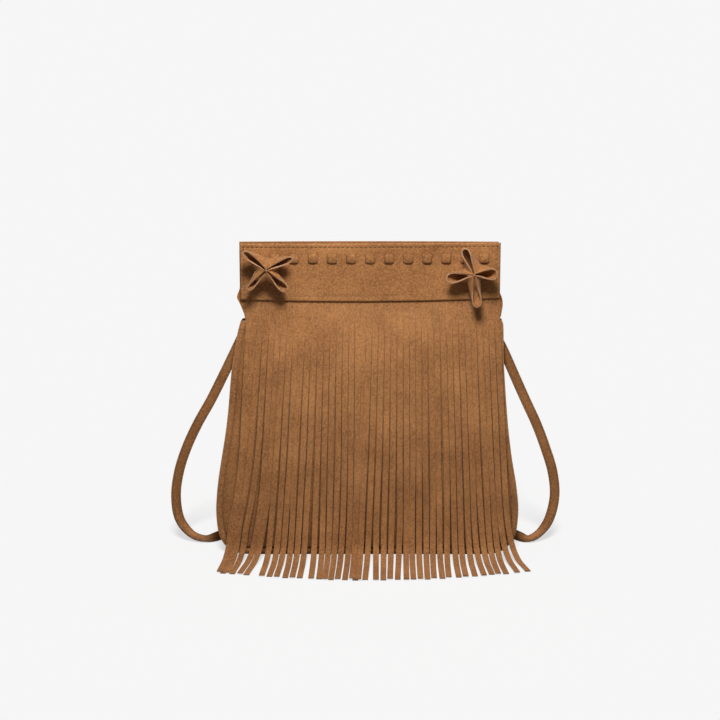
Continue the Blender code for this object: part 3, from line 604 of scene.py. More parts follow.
def flange(facing, inner_layer):
    """The strip of raw edge outside the seam: the panel's layer in front, or the gusset's layer behind it."""
    reach = np.array([0.0, 0.00012, 0.0006, 0.0014, 0.0024, 0.0034, 0.0042, 0.0047, 0.0051])
    ends = np.arange(len(line_points)) * 0.00272
    ends = np.minimum(ends, ends[::-1])
    width = 0.15 + 0.85 * np.sqrt(1 - (1 - np.clip(ends / 0.0062, 0, 1)) ** 2)
    distance = SEAM_WIDTH - (SEAM_WIDTH - reach[None, :]) * width[:, None]
    flat = line_points[:, None, :] - line_outward[:, None, :] * distance[:, :, None]
    bottom = SUEDE * (0.0 if not inner_layer else 1.0)
    depth = outer_depth(flat[..., 0], flat[..., 1]) - bottom
    puff = 0.00050 * np.sin(math.pi * np.clip(distance / SEAM_WIDTH, 0, 1))
    crease = 0.0015 * np.exp(-((SEAM_WIDTH - distance) / 0.0006) ** 2)
    wander = 0.00018 * np.sin(ends * 310 + 1.0)[:, None] * (1 - distance / SEAM_WIDTH)
    edge_round = 0.00018 * (distance < 0.00005)
    depth = depth + wander
    outer = depth + (0 if inner_layer else puff - crease) - edge_round
    inner = depth - SUEDE + 0.00008 + edge_round
    near = np.stack([flat[..., 0], facing * outer, flat[..., 1]], axis=-1)
    far = np.stack([flat[..., 0], facing * inner, flat[..., 1]], axis=-1)
    return near, far


def join_slabs(name, slabs, materials, sharp=40):
    points = []
    faces = []
    kinds = []
    for near, far in slabs:
        rim = range(FLANGE_RIM) if near.shape[1] == FLANGE_COLUMNS else ()
        more_points, more_faces, more_kinds = slab(near, far, None, len(points), rim)
        points += list(more_points)
        faces += more_faces
        kinds += more_kinds
    return make_piece(name, points, faces, materials, kinds, sharp)


# A darker copy of the same suede for the gusset and its flange layers: painted shade for sides that face away
# from the lamps.
gusset_suede_painted_shade = suede_finish("tan_suede_seam", (0.225, 0.090, 0.028, 1.0), (0.400, 0.175, 0.062, 1.0))
front_body = panel_body(-1, 0.260, 1.0)
front_panel = join_slabs("suede_front_panel", [front_body, flange(-1, False)], [suede, cut_edge])
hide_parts("front_panel")
rear_body = panel_body(1, 0.260, 2.6)
rear_panel = join_slabs("suede_rear_panel", [rear_body, flange(1, False)], [suede, cut_edge])
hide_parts("rear_panel")


# Gusset: one long strip of suede up one side, under the base and up the other side. It folds inward at both
# sides so that the bag narrows to its mouth. Its edges are sewn to the panels as the flange's inner layer.
PLEAT_DEPTH = 0.010
PLEAT_START = 0.060
PLEAT_HALF_GAP = STRAP_THICKNESS / 2 + CLEAR
GUSSET_TOP = 0.198


def gusset_profile(index):
    """The gusset's outer side at one place on the seam line, as (depth, outward) from seam to seam."""
    corner = inner_line[index]
    base_share = float(np.clip(-line_outward[index][1], 0, 1)) ** 2
    half_depth = float(outer_depth(corner[0], corner[1])) - 2 * SUEDE - CLEAR
    fold = float(smooth_share(corner[1], PLEAT_START, GUSSET_TOP))
    half_flat = half_depth * 0.7 * (1 - fold) + PLEAT_HALF_GAP * fold
    reach = -PLEAT_DEPTH * fold * (1 - base_share) + SEAM_WIDTH * base_share
    depths = np.concatenate([-np.linspace(half_depth, half_flat, 12),
                             np.linspace(-half_flat, half_flat, 13)[1:-1],
                             np.linspace(half_flat, half_depth, 12)])
    rise = smooth_share((half_depth - np.abs(depths)) / max(half_depth - half_flat, 1e-5), 0.0, 1.0)
    soft = (half_depth - np.abs(depths)) / max(half_depth - half_flat, 1e-5)
    rise = 0.45 * rise + 0.55 * np.clip(soft, 0, 1)
    reaches = reach * rise
    sag = 0.0006 * np.sin(depths * 210 + corner[1] * 60) * (1 - base_share) * np.clip(soft, 0, 1)
    return np.stack([depths, reaches + sag], axis=1)


gusset_near = []
gusset_far = []
for index in range(len(line_points)):
    profile = gusset_profile(index)
    run = unit(np.gradient(profile, axis=0))
    inward = np.stack([run[:, 1], -run[:, 0]], axis=1)
    inner = profile + inward * SUEDE
    corner = inner_line[index]
    for rows, spots in ((gusset_near, profile), (gusset_far, inner)):
        flat = corner[None, :] + line_outward[index][None, :] * spots[:, 1:2]
        rows.append(np.stack([flat[:, 0], spots[:, 0], flat[:, 1]], axis=1))
gusset_sheet = (np.array(gusset_near), np.array(gusset_far))
gusset = join_slabs("suede_gusset", [gusset_sheet, flange(-1, True), flange(1, True)],
                    [gusset_suede_painted_shade, cut_edge])
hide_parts("gusset")

seam_parts = []
for facing in (-1, 1):
    steps, places = even_steps(inner_line, int(0.62 / 0.0036))
    direction = np.tile([0.0, float(facing), 0.0], (len(steps), 1))
    depth = outer_depth(steps[:, 0], steps[:, 1]) - 0.00062
    spots = np.stack([steps[:, 0], facing * depth, steps[:, 1]], axis=1)
    seam_parts.append(stitch_row(spots[2:-2], direction[2:-2], STITCH_LENGTH))
seam_points, seam_faces = join_meshes(seam_parts)
make_piece("seam_stitches", seam_points, seam_faces, [thread])


# Linings and base board: brown cotton against the panels and in the gusset, sewn in with the seams, and a
# grey pressed board that lies on the gusset and keeps the base flat.
def cloth_finish(name, dark, light, thread_size):
    """Plain weave: threads over and under each other both ways."""
    material = bpy.data.materials.new(name)
    material.use_nodes = True
    nodes = material.node_tree.nodes
    links = material.node_tree.links
    shader = nodes["Principled BSDF"]
    place = nodes.new("ShaderNodeTexCoord").outputs["Object"]
    waves = []
    for direction in ("X", "Z"):
        wave = nodes.new("ShaderNodeTexWave")
        wave.bands_direction = direction
        wave.inputs["Scale"].default_value = 0.32 / thread_size
        wave.inputs["Distortion"].default_value = 0.3
        links.new(place, wave.inputs["Vector"])
        waves.append(wave.outputs["Fac"])
    weave = math_node(nodes, links, "MULTIPLY", waves[0], waves[1])
    patches = noise_node(nodes, links, place, 60.0, 3.0)
    tone = math_node(nodes, links, "MULTIPLY", weave, 0.6)
    patch_tone = math_node(nodes, links, "MULTIPLY", patches.outputs["Fac"], 0.4)
    tone = math_node(nodes, links, "ADD", tone, patch_tone)
    ramp = nodes.new("ShaderNodeValToRGB")
    ramp.color_ramp.elements[0].color = dark
    ramp.color_ramp.elements[1].color = light
    links.new(tone, ramp.inputs["Fac"])
    links.new(ramp.outputs["Color"], shader.inputs["Base Color"])
    bump = nodes.new("ShaderNodeBump")
    bump.inputs["Distance"].default_value = 0.0001
    links.new(weave, bump.inputs["Height"])
    links.new(bump.outputs["Normal"], shader.inputs["Normal"])
    shader.inputs["Roughness"].default_value = 0.9
    return material


lining = cloth_finish("brown_cotton", (0.060, 0.028, 0.012, 1.0), (0.150, 0.076, 0.036, 1.0), 0.0005)


def lining_sheet(facing, seed):
    corner_rows = 0.0079 + 0.024 * (1 - np.cos(np.linspace(0, math.pi / 2, 12)))
    rows = np.concatenate([corner_rows, np.linspace(0.036, 0.2595, 70)])
    half = np.where(rows < 0.0320, 0.0985 + np.sqrt(np.maximum(0.0236 ** 2 - (0.0320 - rows) ** 2, 0)),
                    body_half_width(rows) - 0.0079)
    shares = np.linspace(-1, 1, 60)
    across = half[:, None] * shares[None, :]
    height = np.repeat(rows[:, None], 60, axis=1)
    fade = smooth_share(half[:, None] - np.abs(across), 0.0, 0.03)
    inset = SUEDE + CLEAR + 0.0005 * fade * (1 + np.sin(height * 90 + seed) * np.sin(across * 70))
    narrowing = smooth_share(height, 0.18, 0.21)
    inset = inset * (1 - narrowing) + (SUEDE + CLEAR) * narrowing
    body_dents = np.minimum(dents(across, height, seed) * fade, 0.0)
    depth = outer_depth(across, height) + body_dents - inset
    near = np.stack([across, facing * depth, height], axis=-1)
    far = np.stack([across, facing * (depth - LINING), height], axis=-1)
    return near, far


lining_sides = (("cotton_front_lining", "front_lining", "front_panel", -1, 1.0),
                ("cotton_rear_lining", "rear_lining", "rear_panel", 1, 2.6))
for name, node, panel, facing, seed in lining_sides:
    near, far = lining_sheet(facing, seed)
    piece = make_slab(name, near, far, [lining, lining])
    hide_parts(node)

strip_near = []
strip_far = []
for index in range(len(line_points)):
    if line_points[index][1] > 0.160:
        continue
    profile = gusset_profile(index)
    base_share = float(np.clip(-line_outward[index][1], 0, 1)) ** 2
    run = unit(np.gradient(profile, axis=0))
    inward = np.stack([run[:, 1], -run[:, 0]], axis=1)
    gap = SUEDE + 2 * CLEAR + 0.0018 * base_share
    corner = inner_line[index]
    keep = slice(4, len(profile) - 4)
    for rows, offset in ((strip_near, gap), (strip_far, gap + LINING)):
        spots = (profile + inward * offset)[keep]
        flat = corner[None, :] + line_outward[index][None, :] * spots[:, 1:2]
        rows.append(np.stack([flat[:, 0], spots[:, 0], flat[:, 1]], axis=1))
gusset_lining = make_slab("cotton_gusset_lining", strip_near, strip_far, [lining, lining])
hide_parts("gusset_lining")

board = bpy.data.materials.new("grey_pressed_board")
board.use_nodes = True
board_shader = board.node_tree.nodes["Principled BSDF"]
board_place = board.node_tree.nodes.new("ShaderNodeTexCoord").outputs["Object"]
board_fibres = noise_node(board.node_tree.nodes, board.node_tree.links, board_place, 400.0, 5.0)
board_ramp = board.node_tree.nodes.new("ShaderNodeValToRGB")
board_ramp.color_ramp.elements[0].color = (0.12, 0.115, 0.10, 1.0)
board_ramp.color_ramp.elements[1].color = (0.24, 0.225, 0.20, 1.0)
board.node_tree.links.new(board_fibres.outputs["Fac"], board_ramp.inputs["Fac"])
board.node_tree.links.new(board_ramp.outputs["Color"], board_shader.inputs["Base Color"])
board_bump = board.node_tree.nodes.new("ShaderNodeBump")
board_bump.inputs["Distance"].default_value = 0.0001
board.node_tree.links.new(board_fibres.outputs["Fac"], board_bump.inputs["Height"])
board.node_tree.links.new(board_bump.outputs["Normal"], board_shader.inputs["Normal"])
board_shader.inputs["Roughness"].default_value = 0.85
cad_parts["base_board"].data.materials.clear()
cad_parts["base_board"].data.materials.append(board)


# Bands: a stiff strip of folded suede along the mouth at the front and at the rear, stitched round its
# border. The front one is slit for the lace. Its top edge shows the cut, pale inside of the leather.
BAND_LEFT = -0.1091
BAND_RIGHT = 0.1113
BAND_THICKNESS = 0.0018
BAND_STANDOFF = 0.0016
LACE_PITCH = 0.0161
LACE_SQUARES = 13
LACE_SHIFT = 0.0009
LACE_HEIGHT = 0.25045
LACE_WIDTH = 0.0076
SLOT_WIDTH = 0.0011
lace_centres = (np.arange(LACE_SQUARES) - (LACE_SQUARES - 1) / 2) * LACE_PITCH + LACE_SHIFT


def band_top(across):
    return BAG_HEIGHT + 0.0005 * np.asarray(across) / 0.11


def band_bottom(across):
    share = np.asarray(across) / 0.11
    return 0.2152 - 0.0009 * (1 - share ** 2) + 0.0006 * share


def band_face(across, height):
    """Depth of the front band's outer face, with a shallow groove along each row of stitches."""
    depth = outer_depth(across, height) + BAND_STANDOFF + BAND_THICKNESS
    top = band_top(across) - height
    bottom = height - band_bottom(across)
    left = across - BAND_LEFT
    right = BAND_RIGHT - across
    for distance in (top, bottom, left, right):
        depth = depth - 0.0006 * np.maximum(1 - distance / 0.0009, 0.0) ** 2
    inside = np.minimum(np.minimum(top, bottom), np.minimum(left, right))
    groove = np.where(inside == bottom, 0.0042, 0.0030)
    depth = depth - 0.00028 * np.exp(-((inside - groove) / 0.0006) ** 2)
    ripple = 0.00012 * np.sin(across * 160) * np.sin(height * 120 + 1) + 0.00015 * np.sin(across * 47 + 2)
    return depth + ripple * smooth_share(inside, 0.002, 0.008)


slot_edges = []
for centre in lace_centres:
    for edge in (-1, 1):
        slot = centre + edge * LACE_WIDTH / 2
        slot_edges += [slot - SLOT_WIDTH / 2, slot + SLOT_WIDTH / 2]
slot_edges = np.array(slot_edges)
border_steps = (0.0, 0.0003, 0.0009, 0.0016, 0.0024, 0.0030, 0.0036, 0.0044)
fill_columns = [BAND_LEFT + distance for distance in border_steps]
fill_columns += [BAND_RIGHT - distance for distance in border_steps]
fill_columns += [x for x in np.arange(-0.103, 0.1065, 0.0020) if np.min(np.abs(slot_edges - x)) > 0.0006]
band_columns = np.sort(np.concatenate([slot_edges, fill_columns]))
slot_low = LACE_HEIGHT - LACE_WIDTH / 2 - 0.0002
slot_high = LACE_HEIGHT + LACE_WIDTH / 2 + 0.0002
low_shares = np.array([0.0, 0.008, 0.025, 0.045, 0.065, 0.090, 0.112, 0.135, 0.165, 0.2, 0.26, 0.34, 0.42,
                       0.5, 0.58, 0.66, 0.74, 0.82, 0.88, 0.94, 1.0])
high_shares = np.array([0.2, 0.4, 0.55, 0.63, 0.70, 0.77, 0.86, 0.93, 0.97, 1.0])
band_near = []
band_far = []
for column in band_columns:
    bottom = float(band_bottom(column))
    top = float(band_top(column))
    heights = np.concatenate([bottom + (slot_low - bottom) * low_shares,
                              np.linspace(slot_low, slot_high, 6)[1:],
                              slot_high + (top - slot_high) * high_shares])
    band_near.append(np.stack([np.full(len(heights), column), -band_face(column, heights), heights], axis=1))
    back = outer_depth(column, heights) + BAND_STANDOFF
    band_far.append(np.stack([np.full(len(heights), column), -back, heights], axis=1))
band_near = np.array(band_near).transpose(1, 0, 2)
band_far = np.array(band_far).transpose(1, 0, 2)
slots = np.zeros((band_near.shape[0] - 1, band_near.shape[1] - 1), bool)
for low, high in slot_edges.reshape(-1, 2):
    column = int(np.argmin(np.abs(band_columns - low)))
    slots[len(low_shares) - 1:len(low_shares) + 4, column] = True
front_band = make_slab("laced_front_band", band_near, band_far, [suede, cut_edge], slots)
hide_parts("front_band")

rear_columns = np.linspace(-0.110, 0.110, 90)
rear_heights = np.concatenate([[0.2140, 0.2143, 0.2149, 0.2158, 0.2168, 0.2178, 0.2188],
                               np.linspace(0.2200, 0.2580, 20),
                               [0.2590, 0.2600, 0.2610, 0.2618, 0.2624, 0.2628, 0.2631]])
rear_grid_x, rear_grid_z = np.meshgrid(rear_columns, rear_heights)
rear_depth = outer_depth(rear_grid_x, rear_grid_z) + CLEAR + BAND_THICKNESS
rear_inside = np.minimum(np.minimum(rear_grid_z - 0.2140, 0.2631 - rear_grid_z), 0.110 - np.abs(rear_grid_x))
rear_depth = rear_depth - 0.0006 * np.maximum(1 - rear_inside / 0.0009, 0) ** 2
rear_depth = rear_depth - 0.00028 * np.exp(-((rear_inside - 0.0034) / 0.0006) ** 2)
rear_near = np.stack([rear_grid_x, rear_depth, rear_grid_z], axis=-1)
rear_far = np.stack([rear_grid_x, outer_depth(rear_grid_x, rear_grid_z) + CLEAR, rear_grid_z], axis=-1)
rear_band = make_slab("plain_rear_band", rear_near, rear_far, [suede, cut_edge])
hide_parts("rear_band")


def band_row(start, end, pitch, facing=-1):
    """A straight row of stitches on a band from one (across, height) to another."""
    start = np.array(start)
    end = np.array(end)
    count = int(np.linalg.norm(end - start) / pitch)
    steps = start + (end - start) * np.linspace(0, 1, count)[:, None]
    if facing < 0:
        depth = -band_face(steps[:, 0], steps[:, 1]) - 0.00005
    else:
        depth = outer_depth(steps[:, 0], steps[:, 1]) + CLEAR + BAND_THICKNESS - 0.0002
    spots = np.stack([steps[:, 0], depth, steps[:, 1]], axis=1)
    outward = np.tile([0.0, float(facing), 0.0], (count, 1))
    return stitch_row(spots, outward, pitch * 0.78, 0.00030)


BAND_STITCH_PITCH = 0.0037
band_rows = [
    band_row((BAND_LEFT + 0.003, 0.2597), (BAND_RIGHT - 0.003, 0.2605), BAND_STITCH_PITCH),
    band_row((BAND_LEFT + 0.003, 0.2575), (BAND_LEFT + 0.003, 0.2196), BAND_STITCH_PITCH),
    band_row((BAND_RIGHT - 0.003, 0.2580), (BAND_RIGHT - 0.003, 0.2205), BAND_STITCH_PITCH),
    band_row((BAND_LEFT + 0.003, 0.2188), (-0.050, 0.2186), BAND_STITCH_PITCH),
    band_row((-0.048, 0.2186), (0.050, 0.2186), BAND_STITCH_PITCH),
    band_row((0.052, 0.2187), (BAND_RIGHT - 0.003, 0.2200), BAND_STITCH_PITCH),
    band_row((-0.1066, 0.2597), (0.1066, 0.2597), BAND_STITCH_PITCH, 1),
    band_row((-0.1066, 0.2560), (-0.1066, 0.2190), BAND_STITCH_PITCH, 1),
    band_row((0.1066, 0.2560), (0.1066, 0.2190), BAND_STITCH_PITCH, 1),
    band_row((-0.1066, 0.2174), (0.1066, 0.2174), BAND_STITCH_PITCH, 1),
]
# The border rows take the near-black thread, which paints in the shade of their stitch holes and groove; the
# lower rows keep the tan thread.
lower_rows = band_rows[3:6] + band_rows[9:]
border_rows = band_rows[:3] + band_rows[6:9]
for name, rows, material in (("band_border_stitches", border_rows, thread_painted_shade),
                             ("band_lower_stitches", lower_rows, thread)):
    band_points, band_faces = join_meshes(rows)
    make_piece(name, band_points, band_faces, [material])


# Lace: one flat strip of suede, run in and out of the slits so that it stands up in a soft square between
# each pair of them.
LACE_THICKNESS = 0.0010
lace_path = []
for centre in lace_centres:
    turns = np.linspace(math.pi, 0, 19)
    across = centre + (LACE_WIDTH / 2) * np.sign(np.cos(turns)) * np.abs(np.cos(turns)) ** 0.45
    rise = np.abs(np.sin(turns)) ** 0.55
    behind = 0.0008
    ahead = BAND_STANDOFF + BAND_THICKNESS + 0.0013
    depth = outer_depth(across, LACE_HEIGHT) + behind + (ahead - behind) * rise
    lace_path += list(zip(across, depth, rise))
first = lace_path[0]
last = lace_path[-1]
lace_path = [(first[0] - 0.004, first[1], 0.0)] + lace_path + [(last[0] + 0.004, last[1], 0.0)]
lace_path = np.array(lace_path)
lace_run = unit(np.gradient(lace_path[:, :2], axis=0))
lace_out = np.stack([-lace_run[:, 1], lace_run[:, 0]], axis=1)
lace_near = []
lace_far = []
lace_shares = np.array([-1.0, -0.93, -0.8, -0.5, -0.15, 0.15, 0.5, 0.8, 0.93, 1.0])
for share in lace_shares:
    crown = 0.0009 * (1 - abs(share) ** 2.2) * lace_path[:, 2]
    height = LACE_HEIGHT + share * LACE_WIDTH / 2 * (0.90 + 0.10 * lace_path[:, 2])
    edge = 0.5 * LACE_THICKNESS * math.sqrt(max(1 - max(abs(share) - 0.8, 0) ** 2 * 18, 0.2))
    outer = lace_path[:, :2] + lace_out * edge
    inner = lace_path[:, :2] - lace_out * edge
    lace_near.append(np.stack([outer[:, 0], -(outer[:, 1] + crown), height], axis=1))
    lace_far.append(np.stack([inner[:, 0], -(inner[:, 1] + crown), height], axis=1))
lace = make_slab("suede_lace", lace_near, lace_far, [suede, suede])
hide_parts("lace")


# Fringe: one piece of suede sewn under the front band and cut into long strands. They hang down the front,
# part a little over the belly, and turn out over the floor, where some lie over their neighbours.
STRAND_WIDTH = 0.0049
FRINGE_LEFT = -0.1045
FRINGE_PITCH = 0.00514
# for each strand: where it hangs 34 mm above the floor, where its tip lies, and how far it stands in front
STRANDS = (
    (-0.1163, -0.1244, 0.0012), (-0.1128, -0.1215, 0.0000), (-0.1097, -0.1180, 0.0008),
    (-0.1030, -0.1138, 0.0000), (-0.0931, -0.1072, 0.0010), (-0.0882, -0.1019, 0.0002),
    (-0.0826, -0.0889, 0.0008), (-0.0756, -0.0826, 0.0000), (-0.0703, -0.0765, 0.0006),
    (-0.0648, -0.0694, 0.0002), (-0.0589, -0.0635, 0.0008), (-0.0532, -0.0574, 0.0002),
    (-0.0456, -0.0479, 0.0008), (-0.0390, -0.0414, 0.0000), (-0.0332, -0.0365, 0.0008),
    (-0.0278, -0.0315, 0.0002), (-0.0220, -0.0260, 0.0007), (-0.0160, -0.0200, 0.0002),
    (-0.0112, -0.0142, 0.0013), (-0.0090, -0.0115, 0.0000), (-0.0060, -0.0089, 0.0013),
    (0.0004, -0.0034, 0.0002), (0.0062, 0.0055, 0.0008), (0.0129, 0.0116, 0.0002),
    (0.0193, 0.0172, 0.0009), (0.0265, 0.0234, 0.0001), (0.0318, 0.0307, 0.0007),
    (0.0364, 0.0365, 0.0002), (0.0424, 0.0423, 0.0009), (0.0487, 0.0481, 0.0001),
    (0.0543, 0.0535, 0.0006), (0.0598, 0.0604, 0.0002), (0.0662, 0.0657, 0.0008),
    (0.0721, 0.0741, 0.0001), (0.0776, 0.0799, 0.0007), (0.0836, 0.0876, 0.0001),
    (0.0890, 0.0951, 0.0008), (0.0950, 0.1018, 0.0002), (0.1009, 0.1071, 0.0008),
    (0.1064, 0.1138, 0.0001), (0.1110, 0.1232, 0.0007), (0.1167, 0.1324, 0.0000),
)
# across a strand: the place in its width, and how far its worn front lies below flat there
STRAND_PROFILE = ((-0.5, 0.00040), (-0.45, 0.00010), (-0.15, 0.0),
                  (0.15, 0.0), (0.45, 0.00010), (0.5, 0.00040))
STRAND_COLUMNS = len(STRAND_PROFILE)
strand_wobble = np.random.default_rng(7)


def soft_path(knots, values, places):
    """Smooth values through the knots, without overshooting them."""
    knots = np.asarray(knots, float)
    values = np.asarray(values, float)
    slopes = np.diff(values) / np.diff(knots)
    ends = np.concatenate([[slopes[0]], (slopes[1:] + slopes[:-1]) / 2, [slopes[-1]]])
    for index in range(1, len(knots) - 1):
        if slopes[index - 1] * slopes[index] <= 0:
            ends[index] = 0.0
        else:
            limit = 3 * min(abs(slopes[index - 1]), abs(slopes[index]))
            ends[index] = math.copysign(min(abs(ends[index]), limit), ends[index])
    index = np.clip(np.searchsorted(knots, places, side="right") - 1, 0, len(knots) - 2)
    width = knots[index + 1] - knots[index]
    share = np.clip((places - knots[index]) / width, 0.0, 1.0)
    start = (1 + 2 * share) * (1 - share) ** 2
    start_slope = share * (1 - share) ** 2
    end = share ** 2 * (3 - 2 * share)
    end_slope = share ** 2 * (share - 1)
    return (values[index] * start + width * ends[index] * start_slope
            + values[index + 1] * end + width * ends[index + 1] * end_slope)


fringe_rows = 112
fringe_near = []
fringe_far = []
for strand, (belly, tip, lift) in enumerate(STRANDS):
    top = FRINGE_LEFT + (strand + 0.5) * FRINGE_PITCH
    side_share = abs(tip / 0.132) ** 2
    reach = 0.1105 - 0.021 * min(side_share, 1.0) + strand_wobble.uniform(-0.0012, 0.0010)
    sway = strand_wobble.uniform(-0.0007, 0.0007)
    twist = math.radians(strand_wobble.uniform(-7, 7) + (9 if belly < -0.06 else 0))
    bow = 0.0030 * smooth_share(-belly, 0.07, 0.115)
    heights = [0.2220, 0.2140, 0.1720, 0.1280, 0.0880, 0.0520, 0.0260, 0.0090, 0.0022, 0.0004, 0.0002]
    middle_x = [top, top, top + (belly - top) * 0.20 + sway * 0.3 + bow * 0.3,
                top + (belly - top) * 0.44 + sway * 0.6 + bow * 0.7,
                top + (belly - top) * 0.66 + sway + bow, top + (belly - top) * 0.90 + sway * 0.5 + bow * 0.8,
                belly + (tip - belly) * 0.12, belly + (tip - belly) * 0.36, belly + (tip - belly) * 0.60,
                belly + (tip - belly) * 0.86, tip]
    ahead = [0.0003, 0.0003, 0.0008, 0.0020, 0.0040, 0.0060, 0.0090]
    depth = [float(outer_depth(x, z)) + a for x, z, a in zip(middle_x, heights, ahead)]
    depth = [d + lift * smooth_share(0.2 - z, 0.0, 0.10) for d, z in zip(depth, heights)]
    landing = depth[-1]
    depth += [landing + 0.0068, landing + 0.0068 + (reach - landing - 0.0068) * 0.32,
              landing + 0.0068 + (reach - landing - 0.0068) * 0.72, reach]
    heights = [z + lift * smooth_share(0.02 - z, 0.0, 0.02) for z in heights]
    spine = np.array([middle_x, depth, heights]).T
    lengths = np.concatenate([[0.0], np.cumsum(np.linalg.norm(np.diff(spine, axis=0), axis=1))])
    total = lengths[-1]
    hanging = np.linspace(0.0110, total - 0.0006, fringe_rows - 5)
    wanted = np.concatenate([np.linspace(0, 0.0085, 4), hanging, [total]])
    places = np.stack([soft_path(lengths, spine[:, axis], wanted) for axis in range(3)], axis=1)
    waves = 0.0006 * (1 + np.sin(wanted * 62 + strand * 1.9)) * smooth_share(wanted, 0.03, 0.12)
    places[:, 1] += waves * (1 - smooth_share(wanted, total - 0.07, total - 0.03))
    run = unit(np.gradient(places, axis=0))
    landed = smooth_share(wanted, total - 0.08, total - 0.02)
    turn = twist * smooth_share(wanted, 0.02, 0.11) * (1 - 0.75 * landed)
    level = np.stack([np.cos(turn), -np.sin(turn), np.zeros(len(turn))], axis=1)
    out = unit(np.cross(level, run))
    side = unit(np.cross(run, out))
    if side[len(side) // 2][0] < 0:
        side = -side
    if out[len(out) // 4][1] < 0:
        out = -out
    cut_start = 0.0095 + strand_wobble.uniform(0, 0.006)
    cut = smooth_share(wanted, cut_start, 0.022 + strand_wobble.uniform(0, 0.03))
    for share, lower in STRAND_PROFILE:
        edge = places + side * STRAND_WIDTH * share * (0.996 - 0.004 * cut)[:, None]
        front = edge + out * (SUEDE - lower * (0.35 + 0.65 * cut))[:, None]
        back = edge + out * (lower * 0.5)
        fringe_near.append(np.stack([front[:, 0], -front[:, 1], front[:, 2]], axis=1))
        fringe_far.append(np.stack([back[:, 0], -back[:, 1], back[:, 2]], axis=1))
fringe_near = np.array(fringe_near).transpose(1, 0, 2)
fringe_far = np.array(fringe_far).transpose(1, 0, 2)
fringe_near[..., 2] = np.maximum(fringe_near[..., 2], 0.0004)
fringe_far[..., 2] = np.maximum(fringe_far[..., 2], 0.0001)
gaps = np.zeros((fringe_near.shape[0] - 1, fringe_near.shape[1] - 1), bool)
gaps[3:, STRAND_COLUMNS - 1::STRAND_COLUMNS] = True
strand_rims = [column for column in range(fringe_near.shape[1]) if column % STRAND_COLUMNS in (0, 4)]
fringe = make_slab("cut_suede_fringe", fringe_near, fringe_far, [suede, cut_edge], gaps,
                   pale=strand_rims)
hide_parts("front_fringe")


# Flowers: each is one four-lobed cut of suede, 54 to 61 mm across, pinched to the middle at four places and
# sewn there through the band, so that it opens in four narrow cones whose pale cut rims face forward.
FLOWER_RISE = 0.0160
FLOWER_BACK_REACH = 0.0130
LEFT_FLOWER = (-0.0862, 0.2431)
RIGHT_FLOWER = (0.0880, 0.2393)
# each petal: the way it points in degrees, its length, its half width, and the leather's bulge after it
LEFT_PETALS = ((25, 0.0248, 0.0034, 0.0095), (141, 0.0250, 0.0038, 0.0115), (227, 0.0240, 0.0032, 0.0125),
               (314, 0.0250, 0.0046, 0.0060))
RIGHT_PETALS = ((1, 0.0200, 0.0056, 0.0110), (111, 0.0240, 0.0044, 0.0085), (189, 0.0236, 0.0054, 0.0110),
                (277, 0.0288, 0.0048, 0.0070))


def flower_surface(petals, rings, turns):
    """Grid of points from the flower's back, on the band, to its rim."""
    shares = np.linspace(0.06, 1.0, rings)
    columns = []
    count = len(petals)
    for index in range(count):
        angle, length, half, bulge = petals[index]
        before = petals[index - 1][0] - (360 if index == 0 else 0)
        after = petals[(index + 1) % count][0] + (360 if index == count - 1 else 0)
        bulge_before = petals[index - 1][3]
        for step in range(turns):
            turn = -1 + 2 * step / turns
            beside = before if turn < 0 else after
            swell_size = bulge_before if turn < 0 else bulge
            valley = math.radians((angle + beside) / 2)
            along = np.array([math.cos(math.radians(angle)), math.sin(math.radians(angle))])
            across = np.array([-along[1], along[0]])
            eye = np.array([math.cos(valley), math.sin(valley)]) * 0.0010
            loop = along * length * math.cos(math.pi * turn / 2) ** 0.85
            loop = loop + across * half * math.sin(math.pi * turn) * (1 - 0.25 * abs(turn))
            rim = loop + eye * abs(turn) ** 5
            way = math.radians(angle) + (valley - math.radians(angle)) * abs(turn)
            outward = np.array([math.cos(way), math.sin(way)])
            swell = abs(turn) ** 2
            first = outward * FLOWER_BACK_REACH
            second = rim + outward * (-0.0015 + (swell_size + 0.0015) * swell)
            droop = 0.0022 * math.cos(math.pi * turn / 2)
            high = FLOWER_RISE * (0.60 + 0.28 * swell)
            weights = np.stack([3 * (1 - shares) ** 2 * shares, 3 * (1 - shares) * shares ** 2, shares ** 3])
            flat = np.outer(weights[0], first) + np.outer(weights[1], second) + np.outer(weights[2], rim)
            rise = weights[0] * 0.0018 + weights[1] * high + weights[2] * (FLOWER_RISE - droop)
            columns.append(np.column_stack([flat, rise]))
    return np.array(columns).transpose(1, 0, 2)


def make_flower(name, node, place, petals):
    thickness = 0.00115
    grid = flower_surface(petals, 26, 26)
    ring_count, size = grid.shape[:2]
    along = np.roll(grid, -1, axis=1) - np.roll(grid, 1, axis=1)
    outward = np.gradient(grid, axis=0)
    normal = unit(np.cross(outward, along))
    base = -float(band_face(np.array(place[0]), np.array(place[1]))) - 0.0003

    def in_space(spots):
        spots = np.asarray(spots)
        return np.stack([place[0] + spots[..., 0], base - spots[..., 2], place[1] + spots[..., 1]], axis=-1)

    back = in_space(grid)
    front = in_space(grid + normal * thickness)
    points = list(back.reshape(-1, 3)) + list(front.reshape(-1, 3))
    points += [in_space([0.0, 0.0, 0.0]), in_space([0.0, 0.0, thickness])]
    half = ring_count * size
    faces = []
    kinds = []
    for index in range(size):
        after = (index + 1) % size
        for ring in range(ring_count - 1):
            a, b = ring * size + index, ring * size + after
            c, d = a + size, b + size
            faces.append((a, b, d, c))
            faces.append((half + b, half + a, half + c, half + d))
            kinds += [0, 0]
        faces.append((2 * half, after, index))
        faces.append((2 * half + 1, half + index, half + after))
        last = (ring_count - 1) * size
        faces.append((last + index, last + after, half + last + after, half + last + index))
        kinds += [0, 0, 1]
    piece = make_piece(name, points, faces, [suede, cut_edge], kinds, 60)
    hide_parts(node)
    return piece


make_flower("left_suede_flower", "left_flower", LEFT_FLOWER, LEFT_PETALS)
make_flower("right_suede_flower", "right_flower", RIGHT_FLOWER, RIGHT_PETALS)

